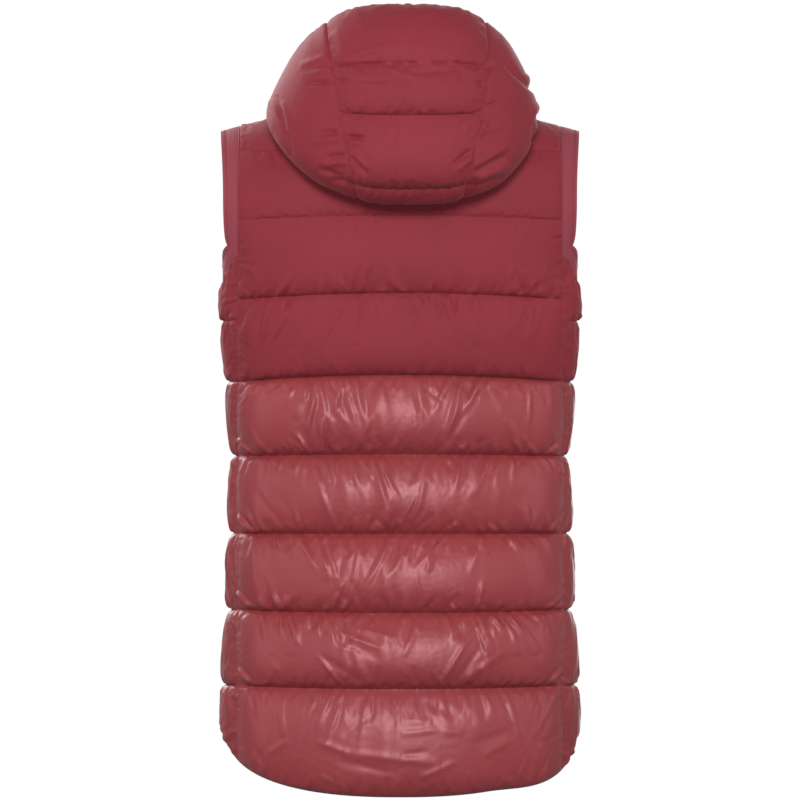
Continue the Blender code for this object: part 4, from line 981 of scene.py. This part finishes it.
HOOD_FAINT_LINE, HOOD_FAINT_LINE_LIFT = 4, 0.0045   # the line nearest the crown is drawn in less
HOOD_SEAM_SHARE, HOOD_SEAM_REACH, HOOD_SIDE_PUFF = 0.45, 0.022, 0.0070
HOOD_MIDDLE_METRES, HOOD_SIDE_METRES = 0.075, 0.20  # half the middle panel, and all of a side


def hood_arch(place, along):
    """Half a station. x swells to its widest place as a sine and closes to the front corner as
    a cosine; y and z pass from the middle's values to the side's and on to the corner's."""
    value = {n: column(HOOD_STATIONS, HOOD_COLUMNS, n, along) for n in HOOD_COLUMNS[1:]}
    to_side = np.clip(place / HOOD_SIDE_AT, 0, 1) * np.pi / 2
    to_corner = np.clip((place - HOOD_SIDE_AT) / (1 - HOOD_SIDE_AT), 0, 1) * np.pi / 2
    width = value["half_width"]
    x = width * np.sin(to_side) + (value["corner_x"] - width) * (1 - np.cos(to_corner))
    middle = 1 - smooth(place / HOOD_MIDDLE_ENDS) ** HOOD_FLATNESS
    corner = smooth((place - HOOD_CORNER_BEGINS) / (1 - HOOD_CORNER_BEGINS))
    found = [x]
    for axis, front in (("y", corner), ("z", corner ** 1.6)):
        found.append(value["middle_" + axis] * middle + value["corner_" + axis] * front
                     + value["side_" + axis] * (1 - middle - front))
    return np.stack(found, axis=-1)


def hood_surface(across, along):
    """across is 0 at the middle of the back, 1 at the middle panel's seam and 2 at the front
    corner. Near its lower edge the arch is moved onto the neck seam."""
    run = np.abs(across)
    seam_x = column(HOOD_SEAM, HOOD_SEAM_COLUMNS, "seam_x", along)
    widest = column(HOOD_STATIONS, HOOD_COLUMNS, "half_width", along)
    seam_at = HOOD_SIDE_AT * 2 / np.pi * np.arcsin(seam_x / widest)
    place = np.where(run <= 1, run * seam_at, seam_at + (run - 1) * (1 - seam_at))
    last = np.pi - math.asin(HOOD_FRONT_X / NECK_HALF_WIDTH)
    turn = np.interp(place, (0, HOOD_SIDE_AT, 1), (0, np.pi / 2, last))
    seam, out, inward = neck_seam(turn)
    edge = seam + out * HOOD_SEAM_LIFT - inward * HOOD_SEAM_OUT
    settle = (1 - smooth(along / HOOD_SETTLED_AT))[..., None]
    points = hood_arch(place, along) + (edge - hood_arch(place, 0 * along)) * settle
    hang = smooth(along / 0.35) * smooth(2.0 - run) ** 2
    shift = HOOD_SHIFT_X + (HOOD_BRIM_SHIFT_X - HOOD_SHIFT_X) * smooth((along - 0.65) / 0.35)
    points[..., 0] = points[..., 0] * np.sign(across + 1e-12) + shift * hang
    return points


def hood_upper(across, row):
    """The panels between base band and brim band: rows count the middle panel's lines."""
    return hood_surface(across, blend_lines([line + 0 * row for line in HOOD_LINES], row))


def hood_channels(row):
    """The middle panel's channels, with the lift at its faint line."""
    return channels(row, HOOD_PUFFS, HOOD_FAINT_LINE, HOOD_FAINT_LINE_LIFT)


def from_middle_edge(across):
    """Distance in metres inside the middle panel's nearer seam."""
    return (1 - np.abs(across)) * HOOD_MIDDLE_METRES


def from_middle_seam(across):
    """Distance in metres out from the middle panel's seam, over a side panel."""
    return (np.abs(across) - 1) * HOOD_SIDE_METRES


def hood_middle_height(across, row):
    """The channels, flattened towards both seams."""
    return SEAM_RISE + hood_channels(row) * pinch(
        from_middle_edge(across), HOOD_SEAM_REACH, HOOD_SEAM_SHARE)


def hood_side_height(across, row):
    """One soft pillow from seam to corner, which flattens at every edge and starts at the
    middle panel's seam with that panel's height there."""
    ends = pinch(row * 0.06, 0.02, 0) * pinch((5 - row) * 0.08, 0.02, 0)
    squashed = 0.2 + 0.8 * smooth((row - 1.0) / 1.2)
    closing = pinch((2 - np.abs(across)) * HOOD_SIDE_METRES, 0.02, 0.2)
    own = HOOD_SIDE_PUFF * pinch(from_middle_seam(across), 0.035, 0) * ends * squashed * closing
    meets = 1 - smooth(from_middle_seam(across) / 0.02)
    return SEAM_RISE + own + HOOD_SEAM_SHARE * hood_channels(row) * meets


def flat_height(puff):
    """For a band without stitch lines."""
    def height(across, row):
        """One low channel over the whole band: puff · (4t(1 − t))^0.7."""
        return SEAM_RISE + puff * (4 * row * (1 - row)).clip(0) ** 0.7
    return height


HOOD_CREASES = np.array([
    (55, 65, 12, 76, 3, -0.9), (42, 63, -8, 72, 3, 1), (16, 55, -22, 42, 3.2, -1),
    (42, 40, 11, 41, 3, 0.8), (-6, 64, -44, 57, 3, -0.9), (-11, 48, -61, 53, 3.2, 0.9),
    (-44, 59, -86, 66, 2.8, -1), (65, 40, 51, 41, 2.2, 1.8), (95, 38, 69, 41, 2.4, 1.9),
    (102, 56, 73, 68, 3.4, -1.1), (92, 47, 70, 55, 2.8, -1), (85, -16, 61, -12, 2.4, 2),
    (77, -42, 55, -37, 2.4, 1.8), (85, -50, 59, -61, 2.6, 1.8), (72, -61, 53, -67, 2.4, 1.5),
    (90, -25, 61, -21, 3.6, -1.2), (81, -47, 56, -45, 3, -1.3), (58, -18, 35, -21, 2, 2.6),
    (52, -40, 35, -59, 2.2, 2.6), (56, -23, 37, -28, 2.8, -1.2), (47, -38, 32, -54, 2.6, -1.1),
    (133, 22, 114, -16, 3, -1.3), (127, 26, 110, -36, 2.4, 1.6), (120, 20, 107, -31, 3, -1.1),
    (-92, 64, -94, 48, 2.4, 1.8), (-79, 38, -88, 37, 2.6, 1.8), (-56, -50, -75, -33, 2.4, 2.6),
    (-61, -54, -77, -40, 2.8, -1.2), (-77, -16, -94, -2, 2.8, -1.5),
    (-80, -22, -109, -13, 2.8, 1.6), (-87, -33, -106, -29, 2.6, -1.2),
    (-77, -50, -112, -28, 3, -1.8), (-80, -56, -110, -38, 2.6, 1.6),
    (-80, -64, -113, -45, 3.2, -1.7), (-82, -68, -108, -58, 2.6, 1.5),
    (-90, 13, -106, 20, 2.6, 1), (-108, 61, -125, 41, 2.8, 2), (-124, 42, -147, 26, 2.6, 2),
    (-128, 48, -150, 33, 3.4, -1.3), (-147, 20, -138, -6, 2.4, 1.8),
    (-138, -4, -138, -30, 2.4, 1.6), (-143, 20, -132, -7, 3, -1.2),
]) * (1, 1, 1, 1, 1, 2.1)      # the last factor sets them all deeper
hood_middle = quilted_panel(
    "hood_middle_cloth", hood_upper, np.linspace(-1, 1, 49), np.linspace(0, 5, 101), -1,
    hood_middle_height, eased(*SHORT_EASE), creases=HOOD_CREASES, sag=0.75,
    metres=HOOD_MIDDLE_METRES, puckers=0.0014, farthest=0.006, channel=0.060, seed=61,
    seam_side=from_middle_edge)
sewn_on(hood_middle, "hood_middle", *MATT)
stitch_rows(hood_upper, np.linspace(-1, 1, 49), (1, 2, 3), -1)
hood = [hood_middle]
for side, letter in SIDES:
    # its rows stand a hair off whole numbers, so that none of them counts as a stitch line
    panel = quilted_panel(
        "hood_side_cloth_" + letter, hood_upper, np.sort(side * np.linspace(1, 2, 65)),
        np.linspace(0, 5, 81) * 0.9999 + 0.00025, -1, hood_side_height, eased(0.012, 0, 1),
        creases=HOOD_CREASES, sag=1.0, metres=HOOD_SIDE_METRES, puckers=0.0002,
        farthest=0.006, channel=0.060, seed=62 + side, seam_side=from_middle_seam)
    sewn_on(panel, "hood_side_" + letter, *MATT)
    hood.append(panel)
for band, first, last, steps, puff, seed in (("base", 0, HOOD_LINES[0], 16, 0.0025, 65),
                                             ("brim", HOOD_LINES[-1], 1, 8, 0.0026, 66)):
    panel = quilted_panel(
        f"hood_{band}_cloth",
        lambda across, row: hood_surface(across, first + row * (last - first)),
        np.linspace(-2, 2, 177), np.linspace(0, 1, steps + 1), -1, flat_height(puff),
        eased(0.02, 0, 1), sag=1.0, metres=0.15, puckers=0.0003, farthest=0.002, seed=seed)
    sewn_on(panel, "hood_" + band, *MATT)
    hood.append(panel)

# ------------------------------------------------------------------ the stitches
# Dark red thread, lock-stitched along every quilting line and along both edges of the bands.
thread = cloth_material("red_thread", (0.150, 0.016, 0.024), 0.75, 0.3, 0.1, 0.00005)
points, faces = (np.concatenate(parts) for parts in zip(*stitches_sewn))
stitches = make_mesh("quilting_stitches", points, faces, uv=points[:, ::2])
fixed_on(stitches, thread)

# ------------------------------------------------------------------ the zip
# Two woven tapes carry moulded teeth up the middle of the front and the collar. The metal
# slider and its pull tab keep their solids, in dark metal with fine brushed scratches.
TEETH_HALF_WIDTH, TOOTH_PITCH = 0.0029, 0.0026


def zip_line(count):
    """Points at even steps up the front's middle and the collar, with the way out."""
    climbs = np.linspace(climb(FRONT, 0.0, hem_height(FRONT, 0.0)), top_climb(FRONT, 0.0), 400)
    body = shell(FRONT, np.zeros(400), climbs)
    upper = collar_surface(np.full(80, np.pi), np.linspace(0, 2, 81)[1:])
    points = np.concatenate([body, upper])
    run = np.concatenate([[0], np.cumsum(np.linalg.norm(np.diff(points, axis=0), axis=1))])
    at = np.linspace(0, run[-1], count)
    points, = read_along(at, run, points)
    along = unit(np.gradient(points, axis=0))
    out = unit(np.cross(np.tile((1.0, 0.0, 0.0), (count, 1)), along))
    return points, along, out, at


def capped_sweep(points, out, profile):
    """A closed profile (x, height) carried along a line of points, with flat ends."""
    rings = (points[:, None] + profile[:, 0, None] * np.array((1.0, 0, 0))
             + out[:, None] * profile[:, 1, None])
    count, around = rings.shape[:2]
    faces = tube_faces(count, around)[:(count - 1) * around]
    ends = np.array([(0, i, i + 1) for i in range(1, around - 1)])
    last = ends[:, ::-1] + (count - 1) * around
    return rings.reshape(-1, 3), faces, np.concatenate([ends, last])


tape_red = cloth_material("tape_weave", (0.210, 0.020, 0.030), 0.85, 0.3, 0.1, 0.0001)
line, line_along, line_out, line_at = zip_line(241)
TAPE_EDGES = TEETH_HALF_WIDTH + SEAM_GAP, ZIP_EDGE_X - SEAM_GAP
# A tape's section: a thick cord beside the teeth, and from there on flat.
TAPE_SECTION = np.array([
    (TAPE_EDGES[0], 0.0004), (TAPE_EDGES[0] + 0.0006, 0.0011),
    (TAPE_EDGES[0] + 0.0012, 0.0006), (TAPE_EDGES[1], 0.0006),
    (TAPE_EDGES[1], -0.0006), (TAPE_EDGES[0], -0.0006)])
for side, letter in SIDES:
    points, faces, caps = capped_sweep(line, line_out, TAPE_SECTION * (side, 1))
    uv = np.stack(np.broadcast_arrays(line_at[:, None], TAPE_SECTION[None, :, 0]), -1)
    flip = slice(None, None, -side)
    tape = make_mesh("zip_tape_cloth_" + letter, points, faces[:, flip], caps[:, flip],
                     uv.reshape(-1, 2))
    fixed_on(tape, tape_red, "zip_tape_" + letter)


def metal_material(name, colour, roughness):
    """Dark plated metal with fine scratches along it and a slight cloud in its gloss."""
    material, tree, shader = start_material(name)
    place = tree.nodes.new("ShaderNodeTexCoord").outputs["Object"]
    scratch = add_node(tree, "ShaderNodeTexNoise", {
        "Scale": 900.0, "Detail": 2.0, "Vector": place}).outputs["Fac"]
    gloss = add_node(tree, "ShaderNodeMapRange", {
        "To Min": roughness, "To Max": roughness + 0.15, "Value": scratch})
    bump = add_node(tree, "ShaderNodeBump", {
        "Strength": 0.3, "Distance": 0.00002, "Height": scratch})
    set_sockets(tree, shader, {
        "Base Color": (*colour, 1.0), "Metallic": 1.0, "Roughness": gloss.outputs["Result"],
        "Normal": bump.outputs["Normal"]})
    return material


dark_metal = metal_material("dark_metal", (0.120, 0.110, 0.115), 0.28)
# One tooth from its root at the tape to its head: distance out from the zip's middle, and half
# its length.
TOOTH = np.array([(0.0029, 0.00085), (0.0022, 0.00085), (0.0014, 0.00045), (0.0003, 0.00055)])
TOOTH_BOTTOM, TOOTH_TOP = -0.0009, 0.0015
teeth_cast = []
for side, first in ((1, 0.75), (-1, 1.25)):     # the two rows stand half a pitch apart
    at = (np.arange(int(line_at[-1] / TOOTH_PITCH) - 1) + first) * TOOTH_PITCH
    centre, way, out = read_along(at, line_at, line, line_along, line_out)
    ring = np.array([(side * x, s * half, height) for x, half in TOOTH for s, height in (
        (-1, TOOTH_BOTTOM), (1, TOOTH_BOTTOM), (1, TOOTH_TOP), (-1, TOOTH_TOP))])
    teeth = (centre[:, None] + ring[:, 0, None] * np.array((1.0, 0, 0))
             + way[:, None] * ring[:, 1, None] + out[:, None] * ring[:, 2, None])
    add_rods(teeth_cast, teeth.reshape(-1, 4, 4, 3), flip=side > 0)
points, faces = (np.concatenate(parts) for parts in zip(*teeth_cast))
teeth = make_mesh("zip_teeth_rows", points, faces, sharp=30)
fixed_on(teeth, dark_metal, "zip_teeth")

# The slider's two flanges close round the teeth behind its face: an eight-sided sleeve.
SLIDER_FOOT, SLIDER_HEAD = 0.0282, 0.0398
SLEEVE = np.array([
    (0.0036, -0.0012), (0.0044, -0.0004), (0.0044, 0.0026), (0.0036, 0.0034),
    (-0.0036, 0.0034), (-0.0044, 0.0026), (-0.0044, -0.0004), (-0.0036, -0.0012)])
at_collar = slice(-12, None)
sleeve_line, sleeve_out = read_along(np.linspace(SLIDER_FOOT, SLIDER_HEAD, 5),
                                     line[at_collar, 2], line[at_collar], line_out[at_collar])
sleeve = make_mesh("zip_slider_flanges", *capped_sweep(sleeve_line, sleeve_out, SLEEVE), sharp=30)
fixed_on(sleeve, dark_metal)
for node in ("zip_slider", "zip_pull"):
    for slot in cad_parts[node].material_slots:
        slot.material = dark_metal

# ------------------------------------------------------------------ light, floor and camera
# A white room with a pale floor. A small soft key behind the camera draws the satin's middle
# shine, strips and narrow gleams draw the pleats on its flanks, and wide cards fill from the
# sides. Two lamps light the zip's side, and one the floor alone.
scene = bpy.context.scene
scene.view_settings.view_transform = "Standard"
world = bpy.data.worlds.new("white_room")
scene.world = world
world.use_nodes = True
air = world.node_tree
# How bright the surroundings are: as light, as seen in gloss, and as the camera sees them.
room = set_sockets(air, air.nodes["Background"], {"Color": (1.0, 1.0, 1.0, 1.0), "Strength": 0.04})
mirrored = add_node(air, "ShaderNodeBackground", {"Strength": 0.45})
seen = add_node(air, "ShaderNodeBackground", {"Color": (1.0, 1.0, 1.0, 1.0), "Strength": 1.0})
ray = air.nodes.new("ShaderNodeLightPath")
surrounding = room.outputs["Background"]
for kind, background in (("Is Glossy Ray", mirrored), ("Is Camera Ray", seen)):
    surrounding = add_node(air, "ShaderNodeMixShader", {
        "Fac": ray.outputs[kind], 1: surrounding, 2: background.outputs["Background"],
    }).outputs["Shader"]
air.links.new(surrounding, air.nodes["World Output"].inputs["Surface"])

FLOOR_Z, FLOOR_HALF = -1.4, 4.0
floor = make_mesh("floor", np.array([(x * FLOOR_HALF, y * FLOOR_HALF, FLOOR_Z) for x, y in (
    (-1, -1), (1, -1), (1, 1), (-1, 1))]), np.array([(0, 1, 2, 3)]))
pale, tree, shader = start_material("pale_floor")
set_sockets(tree, shader, {"Base Color": (0.9, 0.9, 0.9, 1), "Roughness": 0.9})
floor.data.materials.append(pale)
floor.visible_diffuse = floor.visible_glossy = False


def softbox(name, place, aim, width, height, power):
    """A rectangular area light at a place, turned to face a point, that no camera sees."""
    lamp = bpy.data.lights.new(name, "AREA")
    lamp.shape, lamp.size, lamp.size_y, lamp.energy = "RECTANGLE", width, height, power
    obj = bpy.data.objects.new(name, lamp)
    obj.location = place
    obj.rotation_euler = (Vector(aim) - Vector(place)).to_track_quat("-Z", "Y").to_euler()
    obj.visible_camera = False
    scene.collection.objects.link(obj)
    return obj


softbox("key", (0.0, 2.9, 0.42), (0, 0, -0.3), 0.5, 0.5, 53)
low_card = softbox("low_card", (0.0, 2.7, -0.6), (0, 0, -0.6), 0.20, 1.2, 12)
side_cards = []
for side, strip_power, gleam_power in ((1, 8, 13), (-1, 6, 10)):
    softbox("strip", (side * 1.7, 2.2, 0.3), (0, 0, -0.1), 0.3, 2.2, strip_power)
    softbox("gleam", (side * 2.6, 1.2, 0.3), (0, 0, -0.3), 0.12, 2.4, gleam_power)
    card = softbox("side_card", (side * 3.0, 0.7, 0.6), (0, 0, -0.3), 1.6, 2.4, 34)
    card.visible_glossy = False
    side_cards.append(card)
softbox("zip_side", (1.6, -2.4, 1.4), (0, 0, -0.3), 1.6, 2.4, 75)
floor_light = softbox("floor_light", (0, 0, 6), (0, 0, 0), 12.0, 12.0, 1700)
softbox("zip_strip", (-0.8, -2.6, 1.2), (0, 0, 1.2), 0.4, 4.0, 30)


def grouped(name, pieces):
    """A collection of pieces that some light treats apart."""
    found = bpy.data.collections.new(name)
    for piece in pieces:
        found.objects.link(piece)
    return found


# The side cards are set past the hood, the low card is flagged off everything but the back's satin
# skirt, and the floor's light off everything but the floor.
hood_pieces = grouped("hood_pieces", hood)
for card in side_cards:
    card.light_linking.blocker_collection = hood_pieces
for entry in hood_pieces.collection_objects:
    entry.light_linking.link_state = "EXCLUDE"
low_card.light_linking.receiver_collection = grouped("satin_pieces", [back_skirt])
floor_light.light_linking.receiver_collection = grouped("floor_pieces", [floor])

SENSOR_WIDTH, FRAME_SIZE, CENTRE_Z = 36.0, 0.880, -0.3058   # the view is 880 mm across
CAMERA_DISTANCE, NEAR_PLANE_Y = 12.0, 0.1
camera = bpy.data.objects.new("camera", bpy.data.cameras.new("camera"))
camera.data.sensor_width = SENSOR_WIDTH
camera.data.lens = SENSOR_WIDTH * CAMERA_DISTANCE / FRAME_SIZE
camera.data.clip_end = 100.0
camera.location = (0.0, NEAR_PLANE_Y + CAMERA_DISTANCE, CENTRE_Z)
camera.rotation_euler = (math.radians(90), 0, math.radians(180))
scene.collection.objects.link(camera)
scene.camera = camera
